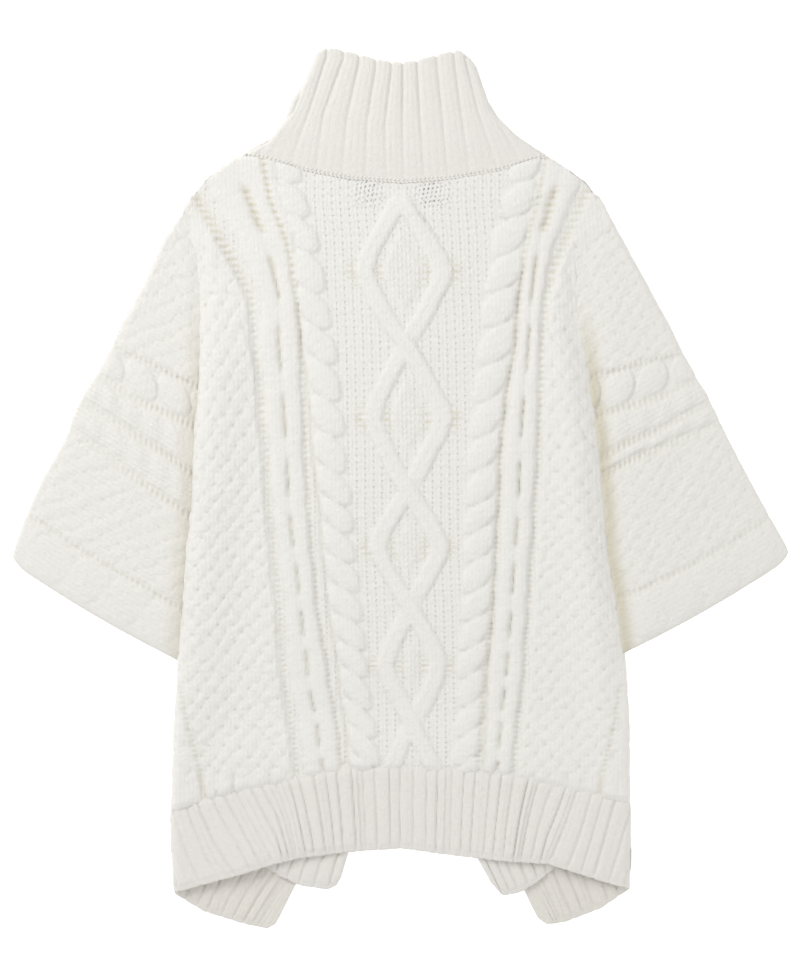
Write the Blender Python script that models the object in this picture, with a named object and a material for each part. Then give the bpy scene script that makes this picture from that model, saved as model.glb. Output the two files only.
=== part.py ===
# Knitted poncho sweater laid flat, back side up: cabled back, two fronts, wide sleeves, funnel collar, ribbed bands.
# The neck points to +Y, the floor is z = 0, and the model is in metres. Sizes below are in millimetres.
import math

import bmesh
import bpy
import numpy as np

MM = 0.001

# Driving dimensions
PANEL_WALL = 4.5        # chunky cable knit
COLLAR_WALL = 5.0       # doubled-up rib
LABEL_WALL = 0.8
SEAM_GAP = 0.3          # between pieces that are sewn together
NEAR_REST = 6.0         # underside of the upper layer where it lies on the lower one
FOLD_LIFT = 12.3        # underside of the back where it folds over a sleeve
HEM_LIFT = 10.2         # underside of the back where it lies over three layers of band
HEM_RISE = 3.2          # how much further the back's hem edge stands up beside the vents
CURL_RADIUS = 3.5       # the back's edge turning down over a sleeve
SLEEVE_CROWN = 7.6      # underside of a sleeve's upper layer along its middle
SLEEVE_TUCK = 8.0       # how far a sleeve runs in under the back's folded edge
UNDERARM_Y = {"left": -191.0, "right": -184.1}  # below this the back turns round to the far side
FIRST_TURN = 20.0       # how far it is turned there
BAND_SEAM = 0.7         # gap above the ribbed band
LOOSE_SEAM = 1.3        # gap along a seam whose two sides are cut to different curves
SPLIT_Y = 60.0          # below this the two fronts part
FRONT_NECK_DROP = 60.0  # how far the front neckline lies below the neck corners
BAND_RISE = 4.8         # underside of the fronts' bands, which lie on the turned ends of the back's band


def table(columns, *rows):
    """A short table: one array for each named column."""
    return {name: np.array([row[i] for row in rows], float) for i, name in enumerate(columns)}


def read(rows, key, column, at):
    """Value of a column where the key column has the given value; the keys may rise or fall."""
    order = np.argsort(rows[key])
    return np.interp(at, rows[key][order], rows[column][order])


# Where the back's two long edges fold, from the shoulder ends down to the hem
SIDE_FOLDS = table(
    ("y", "left", "right"),
    (302, -221, 214),
    (285, -233, 222),
    (270, -225, 228),
    (250, -214, 192),
    (236, -213, 182),
    (205, -209, 184),
    (113, -209, 198),
    (47, -215, 207),
    (-20, -217, 213),
    (-72, -223, 217),
    (-133, -228, 228),
    (-178, -234, 237),
    (-244, -238, 241),
    (-340, -242, 241),
    (-424, -238, 240),
)

# Shoulders and back neckline, left to right
TOP_EDGE = table(
    ("x", "y"),
    (-221, 302),
    (-206, 323),
    (-187, 338),
    (-169, 349),
    (-145, 348),
    (-106, 336),
    (-53, 326),
    (0, 322),
    (52, 326),
    (104, 335),
    (146, 348),
    (154, 349),
    (170, 339),
    (196, 323),
    (214, 302),
)

# Seam between the back and its band, and the band's lower edge
HEM_LINES = table(
    ("x", "seam", "edge"),
    (-242, -340, -423),
    (-218, -332, -416),
    (-173, -320, -404),
    (-131, -311, -391),
    (-106, -306, -385),
    (-58, -296, -379),
    (0, -296, -375),
    (52, -298, -382),
    (104, -301, -388),
    (153, -311, -391),
    (187, -319, -402),
    (222, -327, -413),
    (241, -331, -418),
)

# A sleeve's upper edge from the armhole to the cuff corner; the cuff runs from there to the underarm
SLEEVE_EDGE = {
    "left": table(
        ("x", "y"),
        (-233, 285),
        (-249, 260),
        (-267, 218),
        (-290, 176),
        (-311, 134),
        (-337, 92),
        (-354, 50),
        (-379, 8),
        (-395, -34),
        (-408, -72),
    ),
    "right": table(
        ("x", "y"),
        (228, 270),
        (257, 218),
        (283, 176),
        (301, 134),
        (326, 92),
        (345, 50),
        (368, 8),
        (390, -34),
        (408, -68),
    ),
}
ARMHOLE_TOP = {"left": 250.0, "right": 240.0}
CUFF_INNER_Y = {"left": -181.0, "right": -176.0}
CUFF_BOW = 4.0
CUFF_CORNER = 9.0

# The collar's folded sides, bottom to top, and its upper edge
COLLAR_SIDES = table(
    ("y", "left", "right"),
    (349, -169, 154),
    (357, -155, 141),
    (365, -141, 129),
    (374, -134, 118),
    (391, -121, 102),
    (407, -115, 92),
    (424, -103, 85),
    (441, -95, 79),
    (452, -90, 71),
)
COLLAR_TOP = table(
    ("x", "y"),
    (-90, 452),
    (-79, 460.5),
    (-62, 458),
    (-43, 453),
    (-19, 447),
    (-3, 445),
    (15, 447),
    (41, 454),
    (60, 458),
    (71, 452),
)
COLLAR_CROWN = 8.2
NECK_CORNER = {"left": -155.0, "right": 140.0}

# Turned ends of the back's band on the far side: from the fold (0) to the free end (1)
BAND_TURN = {
    "left": table(
        ("along", "top_x", "top_y", "low_x", "low_y"),
        (0.0, -242, -340, -238, -423),
        (0.3, -198, -356, -206, -442),
        (0.65, -147, -371, -169, -453.5),
        (0.92, -108, -382, -140, -460.5),
        (1.0, -97, -385, -132, -456),
    ),
    "right": table(
        ("along", "top_x", "top_y", "low_x", "low_y"),
        (0.0, 241, -331, 240, -418),
        (0.3, 203, -352, 209, -439),
        (0.65, 158, -372, 172, -453),
        (0.92, 125, -384, 153, -456),
        (1.0, 115, -388, 144, -450),
    ),
}

# The fronts' bands: from the outer end (0) to the end at the opening (1)
FRONT_BAND = {
    "left": table(
        ("along", "top_x", "top_y", "low_x", "low_y"),
        (0.0, -151, -294, -167, -374),
        (0.25, -137, -312, -153, -388),
        (0.5, -111, -326, -128, -404),
        (0.7, -85, -334, -106, -414),
        (0.93, -55, -338, -76, -418.5),
        (1.0, -47, -339, -68, -414),
    ),
    "right": table(
        ("along", "top_x", "top_y", "low_x", "low_y"),
        (0.0, 159, -298, 177, -378),
        (0.25, 140, -318, 160, -396),
        (0.5, 112, -334, 141, -412),
        (0.7, 91, -343, 123, -422),
        (0.93, 71, -350, 106, -425),
        (1.0, 66, -351, 100, -418),
    ),
}

COLOURS = {
    "back_panel": (0.79, 0.77, 0.73),
    "front": (0.77, 0.75, 0.71),
    "sleeve": (0.81, 0.79, 0.75),
    "collar": (0.78, 0.76, 0.71),
    "band": (0.76, 0.73, 0.67),
    "label": (0.16, 0.16, 0.17),
}
SIGN = {"left": -1.0, "right": 1.0}


def smooth(value, low, high):
    """0 at low, 1 at high, easing between them."""
    t = np.clip((value - low) / (high - low), 0.0, 1.0)
    return t * t * (3.0 - 2.0 * t)


def blend(a, b, t):
    return a + (b - a) * t


def clear_scene():
    for old in list(bpy.data.objects):
        bpy.data.objects.remove(old, do_unlink=True)


def wool(name, colour, roughness=0.92):
    material = bpy.data.materials.new(name)
    material.use_nodes = True
    shader = material.node_tree.nodes["Principled BSDF"]
    shader.inputs["Base Color"].default_value = (*colour, 1.0)
    shader.inputs["Roughness"].default_value = roughness
    shader.inputs["Metallic"].default_value = 0.0
    material.diffuse_color = (*colour, 1.0)
    return material


def cloth(name, mid, wall, colour, cells=None, ring=False):
    """A closed wall about a grid of middle points. cells marks the grid squares that are cloth; a ring closes on itself."""
    mid = np.asarray(mid, float)
    rows, columns = mid.shape[:2]
    spans = columns if ring else columns - 1
    if cells is None:
        cells = np.ones((rows - 1, spans), bool)

    squares = [
        ((r, c), (r, (c + 1) % columns), (r + 1, (c + 1) % columns), (r + 1, c))
        for r in range(rows - 1)
        for c in range(spans)
        if cells[r, c]
    ]
    normals = np.zeros_like(mid)
    for square in squares:
        a, b, c, d = (mid[corner] for corner in square)
        across = np.cross(c - a, d - b)
        across /= max(np.linalg.norm(across), 1e-9)
        for corner in square:
            normals[corner] += across
    lengths = np.linalg.norm(normals, axis=2, keepdims=True)
    normals /= np.maximum(lengths, 1e-9)

    mesh = bpy.data.meshes.new(name)
    made = bmesh.new()
    upper, lower = {}, {}
    for square in squares:
        for corner in square:
            if corner not in upper:
                upper[corner] = made.verts.new((mid[corner] + normals[corner] * wall / 2) * MM)
                lower[corner] = made.verts.new((mid[corner] - normals[corner] * wall / 2) * MM)

    sides = {}
    for square in squares:
        made.faces.new([upper[corner] for corner in square])
        made.faces.new([lower[corner] for corner in reversed(square)])
        for start, end in zip(square, square[1:] + square[:1]):
            if (end, start) in sides:
                del sides[(end, start)]
            else:
                sides[(start, end)] = True
    for start, end in sides:
        made.faces.new([upper[end], upper[start], lower[start], lower[end]])

    bmesh.ops.recalc_face_normals(made, faces=made.faces)
    made.to_mesh(mesh)
    made.free()
    mesh.materials.append(wool(name + "_knit", colour))
    mesh.shade_smooth()
    mesh.set_sharp_from_angle(angle=math.radians(50))
    piece = bpy.data.objects.new(name, mesh)
    bpy.context.scene.collection.objects.link(piece)
    return piece


def underside(x, y, left, right):
    """Height of the back's underside above the floor."""
    from_fold = np.minimum(x - left, right - x)
    beside_fold = 1.0 - smooth(from_fold, 15.0, 70.0)
    below_yoke = 1.0 - smooth(y, 252.0, 284.0)
    over_bands = 1.0 - smooth(y, -288.0, -225.0)
    fold = (FOLD_LIFT - NEAR_REST) * beside_fold * below_yoke
    hem = (HEM_LIFT - NEAR_REST) * over_bands
    return NEAR_REST + np.maximum(fold, hem)


def back_panel():
    """The back: its upper layer, its curled or folded long edges, and the turned sides on the far side."""
    across, curl, turn, wrap = 20, 3, 3, 4
    far_z = PANEL_WALL / 2
    heights = np.concatenate([
        np.linspace(-340, UNDERARM_Y["left"], 8),
        np.linspace(UNDERARM_Y["left"] + 8, 205, 12),
        np.array([228, 250, 267, 285, 302]),
    ])
    along = len(heights)
    left_count = curl + turn + wrap
    columns = left_count * 2 + across
    mid = np.zeros((along, columns, 3))
    cells = np.ones((along - 1, columns - 1), bool)

    for r, height in enumerate(heights):
        up = (height + 340) / 642
        folds = {side: float(read(SIDE_FOLDS, "y", side, height)) for side in SIGN}
        line = {side: height for side in SIGN}
        line["right"] = blend(-331.0, 302.0, up)
        folds["right"] = float(read(SIDE_FOLDS, "y", "right", line["right"]))
        edge_z = {}
        curled = height > UNDERARM_Y["left"] + 1
        for side in SIGN:
            lift = float(underside(folds[side], line[side], folds["left"], folds["right"]))
            edge_z[side] = lift + PANEL_WALL / 2

        inset = {}
        for side in SIGN:
            radius = (edge_z[side] - far_z) / 2
            inset[side] = PANEL_WALL / 2 + (CURL_RADIUS if curled else radius)
        x = np.linspace(folds["left"] + inset["left"], folds["right"] - inset["right"], across)
        top_left = float(read(SIDE_FOLDS, "y", "left", 302))
        top_right = float(read(SIDE_FOLDS, "y", "right", 302))
        part = (x - folds["left"]) / (folds["right"] - folds["left"])
        top_y = read(TOP_EDGE, "x", "y", blend(top_left, top_right, part))
        low_y = read(HEM_LINES, "x", "seam", blend(-242.0, 241.0, part))
        y = blend(low_y, top_y, up)
        z = underside(x, y, folds["left"], folds["right"]) + PANEL_WALL / 2
        mid[r, left_count:left_count + across] = np.stack([x, y, z], axis=1)

        for side in SIGN:
            end = BAND_TURN[side]
            turned = max(0.0, (UNDERARM_Y[side] - line[side]) / (UNDERARM_Y[side] - end["top_y"][0]))
            steps = curl + turn
            angles = np.linspace(0.0, math.pi, steps + 1)[1:]
            if curled:
                radius = CURL_RADIUS * float(smooth(-line[side], -285.0, -262.0)) + 0.2
                angles = np.minimum(angles, math.pi / 2)
                centre_z = edge_z[side] - radius
            else:
                radius = (edge_z[side] - far_z) / 2
                centre_z = far_z + radius
            reach = PANEL_WALL / 2 + (CURL_RADIUS if curled else radius)
            deep = CURL_RADIUS if curled else radius
            arc_x = folds[side] - SIGN[side] * (reach - deep * np.sin(angles))
            arc_z = centre_z + radius * np.cos(angles)
            corner_y = y[0] if side == "left" else y[-1]
            arc_y = blend(corner_y, line[side], 0.5 - 0.5 * np.cos(angles))

            last_x = blend(folds[side] - SIGN[side] * FIRST_TURN, end["top_x"][-1], turned)
            start_x = folds[side] - SIGN[side] * reach
            portion = np.linspace(0.0, 1.0, wrap + 1)[1:]
            wrap_x = blend(start_x, last_x, portion)
            drop = read(end, "along", "top_y", portion) - end["top_y"][0]
            wrap_y = line[side] + drop * turned
            wrap_z = np.full(wrap, far_z)
            flank = np.stack([
                np.concatenate([arc_x, wrap_x]),
                np.concatenate([arc_y, wrap_y]),
                np.concatenate([arc_z, wrap_z]),
            ], axis=1)
            if side == "left":
                mid[r, :left_count] = flank[::-1]
            else:
                mid[r, left_count + across:] = flank
        if r and curled:
            hidden = turn + wrap
            cells[r - 1, :hidden] = False
            cells[r - 1, columns - 1 - hidden:] = False
    return cloth("back_panel", mid, PANEL_WALL, COLOURS["back_panel"], cells)


def far_fold(side, y):
    """Line where the front meets a sleeve's lower layer, a little inside the back's folded edge."""
    fold = read(SIDE_FOLDS, "y", side, y)
    yoke = float(smooth(y, ARMHOLE_TOP[side], SIDE_FOLDS["y"][1]))
    return float(fold) - SIGN[side] * SLEEVE_TUCK * (1.0 - yoke)


def front_neck(x):
    """Height of the front neckline, which dips between the two neck corners."""
    corner = np.where(np.asarray(x) < 0.0, NECK_CORNER["left"], NECK_CORNER["right"])
    return 349.0 - FRONT_NECK_DROP * (1.0 - np.clip(x / corner, 0.0, 1.0) ** 2)


def front_columns(side):
    """Places across a front, from its outer edge (0) to its middle (1), with one at the neck corner."""
    shoulder = TOP_EDGE["x"][0] if side == "left" else TOP_EDGE["x"][-1]
    corner = 1.0 - NECK_CORNER[side] / shoulder
    return np.concatenate([np.linspace(0.0, corner, 4), np.linspace(corner, 1.0, 9)[1:]])


def front(side):
    """A front panel on the floor, from the shoulder and neck to its own band."""
    band, turned_end = FRONT_BAND[side], BAND_TURN[side]
    hem_y = band["top_y"][0]
    shoulder = TOP_EDGE["x"][0] if side == "left" else TOP_EDGE["x"][-1]
    heights = np.concatenate([
        np.linspace(hem_y, UNDERARM_Y[side], 7),
        np.linspace(UNDERARM_Y[side] + 8, 205.0, 10),
        np.array([ARMHOLE_TOP[side], 0.5 * (ARMHOLE_TOP[side] + SIDE_FOLDS["y"][1]), SIDE_FOLDS["y"][1], 302.0]),
    ])
    seam_top = float(read(SIDE_FOLDS, "y", side, UNDERARM_Y[side])) - SIGN[side] * FIRST_TURN
    seam_low = turned_end["top_x"][-1]
    share = front_columns(side)
    low_y = read(band, "along", "top_y", share)
    hem_bow = read(band, "along", "top_x", share) - blend(band["top_x"][0], band["top_x"][-1], share)
    mid = np.zeros((len(heights), len(share), 3))
    for r, height in enumerate(heights):
        up = (height - hem_y) / (302.0 - hem_y)
        if height > UNDERARM_Y[side]:
            outer = far_fold(side, height)
        else:
            down = (UNDERARM_Y[side] - height) / (UNDERARM_Y[side] - turned_end["top_y"][-1])
            outer = blend(seam_top, seam_low, down)
        outer -= SIGN[side] * LOOSE_SEAM
        middle_y = blend(band["top_y"][-1], 349.0 - FRONT_NECK_DROP, up)
        parted = max(0.0, (SPLIT_Y - middle_y) / (SPLIT_Y - band["top_y"][-1])) ** 1.25
        middle = SIGN[side] * SEAM_GAP / 2 + band["top_x"][-1] * parted
        x = blend(outer, middle, share) + hem_bow * (1.0 - up) ** 6
        top_x = blend(shoulder, 0.0, share)
        top_y = np.minimum(read(TOP_EDGE, "x", "y", top_x), front_neck(top_x))
        y = blend(low_y, top_y, up)
        lift = BAND_RISE * (1.0 - smooth(y - low_y, 0.0, 42.0))
        mid[r] = np.stack([x, y, lift + PANEL_WALL / 2], axis=1)
    return cloth("front_" + side, mid, PANEL_WALL, COLOURS["front"])


def sleeve(side):
    """A flattened sleeve: upper layer, outer fold, lower layer, open at the armhole and the cuff."""
    edge = SLEEVE_EDGE[side]
    sign = SIGN[side]
    rows, upper, turn, lower = 15, 8, 5, 5
    lengths = np.concatenate([[0.0], np.cumsum(np.hypot(np.diff(edge["x"]), np.diff(edge["y"])))])
    far_z = PANEL_WALL / 2
    mid = np.zeros((rows, upper + turn + lower, 3))
    for r in range(rows):
        down = r / (rows - 1)
        outer_x = np.interp(down * lengths[-1], lengths, edge["x"]) + sign * SEAM_GAP
        outer_y = np.interp(down * lengths[-1], lengths, edge["y"]) - SEAM_GAP
        inner_y = blend(ARMHOLE_TOP[side], CUFF_INNER_Y[side], down) - SEAM_GAP
        fold = float(read(SIDE_FOLDS, "y", side, inner_y))
        tuck = blend(-SEAM_GAP, SLEEVE_TUCK, float(smooth(-inner_y, -ARMHOLE_TOP[side], -205.0)))
        inner_near = np.array([fold - sign * tuck, inner_y])
        inner_far = np.array([far_fold(side, inner_y), inner_y])
        outer = np.array([outer_x, outer_y])

        direction = inner_near - outer
        width = np.linalg.norm(direction)
        direction /= width
        near_z = SLEEVE_CROWN + PANEL_WALL / 2
        radius = (near_z - far_z) / 2
        reach = PANEL_WALL / 2 + radius
        share = np.linspace(0.0, 1.0, upper)
        start = outer + direction * reach
        top = inner_near[None] + (start - inner_near)[None] * share[:, None]
        from_seam = share * (width - reach)
        top_z = PANEL_WALL / 2 + blend(PANEL_WALL + SEAM_GAP, SLEEVE_CROWN, smooth(from_seam, 10.0, 36.0))

        angles = np.linspace(0.0, math.pi, turn + 2)[1:-1]
        arc = outer[None] + direction[None] * (reach - radius * np.sin(angles))[:, None]
        arc_z = (near_z + far_z) / 2 + radius * np.cos(angles)
        share_low = np.linspace(0.0, 1.0, lower)
        under = start[None] + (inner_far - start)[None] * share_low[:, None]

        flat = np.concatenate([top, arc, under])
        z = np.concatenate([top_z, arc_z, np.full(lower, far_z)])
        along_edge = np.array([edge["x"][-1] - edge["x"][-2], edge["y"][-1] - edge["y"][-2]])
        along_edge /= np.linalg.norm(along_edge)
        across_part = np.linalg.norm(flat - outer, axis=1)
        bow = CUFF_BOW * np.sin(math.pi * np.clip(across_part / width, 0.0, 1.0))
        corner = CUFF_CORNER * np.clip(1.0 - across_part / 22.0, 0.0, 1.0) ** 2
        flat = flat + along_edge[None] * ((bow - corner) * down ** 6)[:, None]
        mid[r] = np.concatenate([flat, z[:, None]], axis=1)
    return cloth("sleeve_" + side, mid, PANEL_WALL, COLOURS["sleeve"])


def collar():
    """The funnel neck: a ring of upper layer, right fold, lower layer and left fold."""
    rows, upper, turn, lower = 10, 15, 5, 11
    far_z = COLLAR_WALL / 2
    foot, head = COLLAR_SIDES["y"][0], COLLAR_SIDES["y"][-1]
    ring = upper + turn + lower + turn
    mid = np.zeros((rows, ring, 3))
    foot_reach = COLLAR_WALL / 2 + (NEAR_REST + COLLAR_WALL / 2 - far_z) / 2
    widest = COLLAR_SIDES["right"][0] - foot_reach
    narrowest = COLLAR_SIDES["left"][0] + foot_reach
    corners = [(widest - NECK_CORNER[side]) / (widest - narrowest) for side in ("right", "left")]
    far_share = np.concatenate([[0.0], np.linspace(corners[0], corners[1], lower - 2), [1.0]])
    for r in range(rows):
        up = r / (rows - 1)
        height = blend(foot, head, up)
        left = float(read(COLLAR_SIDES, "y", "left", height))
        right = float(read(COLLAR_SIDES, "y", "right", height))
        near_z = COLLAR_WALL / 2 + blend(NEAR_REST, COLLAR_CROWN, float(smooth(up, 0.0, 0.3)))
        radius = (near_z - far_z) / 2
        reach = COLLAR_WALL / 2 + radius
        angles = np.linspace(0.0, math.pi, turn + 2)[1:-1]
        near_x = np.linspace(left + reach, right - reach, upper)
        right_x = right - reach + radius * np.sin(angles)
        far_x = blend(right - reach, left + reach, far_share)
        left_x = left + reach - radius * np.sin(angles)
        x = np.concatenate([near_x, right_x, far_x, left_x])
        z = np.concatenate([
            np.full(upper, near_z),
            (near_z + far_z) / 2 + radius * np.cos(angles),
            np.full(lower, far_z),
            (near_z + far_z) / 2 - radius * np.cos(angles),
        ])
        layer = (near_z - z) / (near_z - far_z)

        part = (x - left) / (right - left)
        foot_left, foot_right = COLLAR_SIDES["left"][0], COLLAR_SIDES["right"][0]
        head_left, head_right = COLLAR_SIDES["left"][-1], COLLAR_SIDES["right"][-1]
        foot_x = blend(foot_left, foot_right, part)
        near_foot = read(TOP_EDGE, "x", "y", foot_x) + LOOSE_SEAM
        far_foot = front_neck(foot_x) + LOOSE_SEAM
        foot_y = blend(near_foot, far_foot, smooth(layer, 0.6, 1.0))
        head_y = read(COLLAR_TOP, "x", "y", blend(head_left, head_right, part)) - 2.0 * layer
        mid[r] = np.stack([x, blend(foot_y, head_y, up), z], axis=1)
    return cloth("collar", mid, COLLAR_WALL, COLOURS["collar"], ring=True)


def hem_band_back():
    """The back's ribbed band: its upper layer, the two side folds, and the turned ends on the floor."""
    rows, across, turn, wrap = 6, 29, 6, 8
    far_z = PANEL_WALL / 2
    columns = across + 2 * (turn + wrap)
    mid = np.zeros((rows, columns, 3))
    for r in range(rows):
        down = r / (rows - 1)
        left = blend(BAND_TURN["left"]["top_x"][0], BAND_TURN["left"]["low_x"][0], down)
        right = blend(BAND_TURN["right"]["top_x"][0], BAND_TURN["right"]["low_x"][0], down)
        near_z = PANEL_WALL / 2 + HEM_LIFT + 0.2
        radius = (near_z - far_z) / 2
        reach = PANEL_WALL / 2 + radius
        x = np.linspace(left + reach, right - reach, across)
        seam = read(HEM_LINES, "x", "seam", x) - BAND_SEAM
        edge = read(HEM_LINES, "x", "edge", x)
        beside_vent = np.exp(-((np.abs(x) - 140.0) / 60.0) ** 2)
        z = near_z + HEM_RISE * beside_vent * smooth(down, 0.1, 1.0)
        mid[r, turn + wrap:turn + wrap + across] = np.stack([x, blend(seam, edge, down), z], axis=1)
        for side in SIGN:
            end = BAND_TURN[side]
            fold = left if side == "left" else right
            angles = np.linspace(0.0, math.pi, turn + 1)[1:]
            arc_x = fold - SIGN[side] * (reach - radius * np.sin(angles))
            arc_z = (near_z + far_z) / 2 + radius * np.cos(angles)
            corner = x[0] if side == "left" else x[-1]
            near_y = blend(read(HEM_LINES, "x", "seam", corner) - BAND_SEAM,
                           read(HEM_LINES, "x", "edge", corner), down)
            first_y = blend(end["top_y"][0] - BAND_SEAM, end["low_y"][0], down)
            arc_y = blend(near_y, first_y, 0.5 - 0.5 * np.cos(angles))
            share = np.linspace(0.0, 1.0, wrap + 1)[1:]
            top = np.stack([read(end, "along", "top_x", share), read(end, "along", "top_y", share) - BAND_SEAM])
            low = np.stack([read(end, "along", "low_x", share), read(end, "along", "low_y", share)])
            turned = blend(top, low, down)
            flank = np.stack([
                np.concatenate([arc_x, turned[0]]),
                np.concatenate([arc_y, turned[1]]),
                np.concatenate([arc_z, np.full(wrap, far_z)]),
            ], axis=1)
            if side == "left":
                mid[r, :turn + wrap] = flank[::-1]
            else:
                mid[r, turn + wrap + across:] = flank
    return cloth("hem_band_back", mid, PANEL_WALL, COLOURS["band"])


def hem_band_front(side):
    """A front's own band, lying on the turned end of the back's band."""
    rows = 5
    band = FRONT_BAND[side]
    share = front_columns(side)
    top = np.stack([read(band, "along", "top_x", share), read(band, "along", "top_y", share) - 2 * LOOSE_SEAM])
    low = np.stack([read(band, "along", "low_x", share), read(band, "along", "low_y", share)])
    mid = np.zeros((rows, len(share), 3))
    for r in range(rows):
        flat = blend(top, low, r / (rows - 1))
        mid[r] = np.stack([flat[0], flat[1], np.full(len(share), BAND_RISE + PANEL_WALL / 2)], axis=1)
    return cloth("hem_band_front_" + side, mid, PANEL_WALL, COLOURS["band"])


def neck_label():
    """A plain blank label under the back neck."""
    x = np.linspace(-34.0, 46.0, 5)
    y = np.linspace(318.5, 288.0, 3)
    mid = np.array([[(a, b, PANEL_WALL + SEAM_GAP + 0.3 + LABEL_WALL / 2) for a in x] for b in y])
    return cloth("neck_label", mid, LABEL_WALL, COLOURS["label"])


def centre_on_origin(pieces):
    """Hangs every piece on one empty, which puts the middle of the garment's box over the origin."""
    corners = np.array([vertex.co[:] for piece in pieces for vertex in piece.data.vertices])
    middle = (corners.min(axis=0) + corners.max(axis=0)) / 2
    garment = bpy.data.objects.new("garment", None)
    bpy.context.scene.collection.objects.link(garment)
    garment.location = (-middle[0], -middle[1], -corners[:, 2].min())
    for piece in pieces:
        piece.parent = garment


clear_scene()
made_pieces = [back_panel(), collar(), hem_band_back(), neck_label()]
for garment_side in SIGN:
    made_pieces += [front(garment_side), sleeve(garment_side), hem_band_front(garment_side)]
centre_on_origin(made_pieces)
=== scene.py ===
# Looks of the knitted poncho sweater: cable-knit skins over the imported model, under soft light
import math

import bpy
import numpy as np
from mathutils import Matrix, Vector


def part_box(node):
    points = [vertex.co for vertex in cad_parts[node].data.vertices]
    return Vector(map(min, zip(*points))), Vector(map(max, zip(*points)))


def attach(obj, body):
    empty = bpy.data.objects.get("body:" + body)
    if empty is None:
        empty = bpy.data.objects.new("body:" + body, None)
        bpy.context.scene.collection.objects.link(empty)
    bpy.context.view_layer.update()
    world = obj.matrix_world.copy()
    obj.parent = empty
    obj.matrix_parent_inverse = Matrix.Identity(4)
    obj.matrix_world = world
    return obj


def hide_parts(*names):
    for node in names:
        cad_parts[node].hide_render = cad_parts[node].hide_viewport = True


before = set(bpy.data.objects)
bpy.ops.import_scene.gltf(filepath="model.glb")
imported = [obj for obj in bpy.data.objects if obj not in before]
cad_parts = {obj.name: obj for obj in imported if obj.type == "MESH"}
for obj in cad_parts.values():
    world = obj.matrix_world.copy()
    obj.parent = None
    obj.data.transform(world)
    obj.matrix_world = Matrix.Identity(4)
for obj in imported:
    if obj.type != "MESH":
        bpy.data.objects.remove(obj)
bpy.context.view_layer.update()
mm = 0.001


def table(columns, *rows):
    return {name: np.array([row[i] for row in rows], float) for i, name in enumerate(columns)}


def read(rows, key, column, at):
    order = np.argsort(rows[key])
    return np.interp(at, rows[key][order], rows[column][order])


def smooth(value, low, high):
    t = np.clip((value - low) / (high - low), 0.0, 1.0)
    return t * t * (3.0 - 2.0 * t)


def mix(a, b, t):
    return a + (b - a) * t


def dome(value):
    return np.sqrt(np.clip(1.0 - value * value, 0.0, 1.0))


def bell(value, width):
    return np.exp(-((value / width) ** 2))


def wander(x, y, size, seed):
    # Smooth unevenness from -1 to 1, about size millimetres from crest to crest
    draw = np.random.default_rng(seed)
    total = 0.0
    for _ in range(5):
        turn, phase, stretch = draw.uniform(0, math.tau), draw.uniform(0, math.tau), draw.uniform(0.7, 1.6)
        across = x * math.cos(turn) + y * math.sin(turn)
        total = total + np.sin(across * math.tau / (size * stretch) + phase)
    return total / 3.2


def tufts(x, y, seed):
    # Fine lumpiness of loosely spun wool
    return 0.20 * wander(x, y, 9.0, seed + 40) + 0.14 * wander(x, y, 5.5, seed + 41)


def flipped(points, fields, axis):
    return np.flip(points, axis), [np.flip(field, axis) for field in fields]


def placeFlank(grid, row, side, values):
    # A row's stretch beyond the fold, listed outwards from it, goes to its own side of the grid
    if side == "left":
        grid[row, :len(values)] = values[::-1]
    else:
        grid[row, -len(values):] = values


def addObject(name, data):
    made = bpy.data.objects.new(name, data)
    bpy.context.scene.collection.objects.link(made)
    return made


# All lengths are in millimetres unless a note says otherwise
garment = {
    "wall": 4.5,
    "neckY": 349.0,
    "collarWall": 5.0,
    "nearRest": 6.0,
    "foldLift": 12.3,
    "hemLift": 10.2,
    "stitchWide": 8.8,
    "rowsPerDiamond": 22,
    "underarm": {"left": -191.0, "right": -184.1},
}
signOf = {"left": -1.0, "right": 1.0}
labelLow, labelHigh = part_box("neck_label")
shiftX = (labelLow[0] + labelHigh[0]) / 2 / mm - 6.0
shiftY = (labelLow[1] + labelHigh[1]) / 2 / mm - 303.25

sideFolds = table(
    ("y", "left", "right"),
    (302, -221, 208), (285, -229, 217), (270, -225, 224), (250, -214, 192), (236, -213, 182),
    (205, -209, 184), (113, -209, 198), (47, -215, 207), (-20, -217, 213), (-72, -223, 217),
    (-133, -227, 228), (-178, -231.5, 234), (-244, -235.5, 238), (-340, -240.5, 239.5), (-424, -238, 240),
)
topEdge = table(
    ("x", "y"),
    (-221, 302), (-206, 323), (-187, 338), (-169, 349), (-145, 348), (-106, 336), (-53, 326), (0, 322),
    (52, 326), (104, 335), (146, 348), (154, 349), (170, 339), (194, 322), (209, 302),
)
hemLines = table(
    ("x", "seam", "edge", "lean"),
    (-242, -340, -423, 0.20), (-218, -332, -416, 0.30), (-173, -320, -404, 0.46), (-131, -311, -391, 0.48),
    (-106, -306, -385, 0.26), (-58, -296, -379, 0.08), (0, -296, -375, 0.0), (52, -298, -382, -0.03),
    (104, -301, -388, -0.12), (153, -311, -391, -0.36), (187, -319, -402, -0.28), (222, -327, -413, -0.25),
    (241, -331, -418, -0.18),
)

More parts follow.
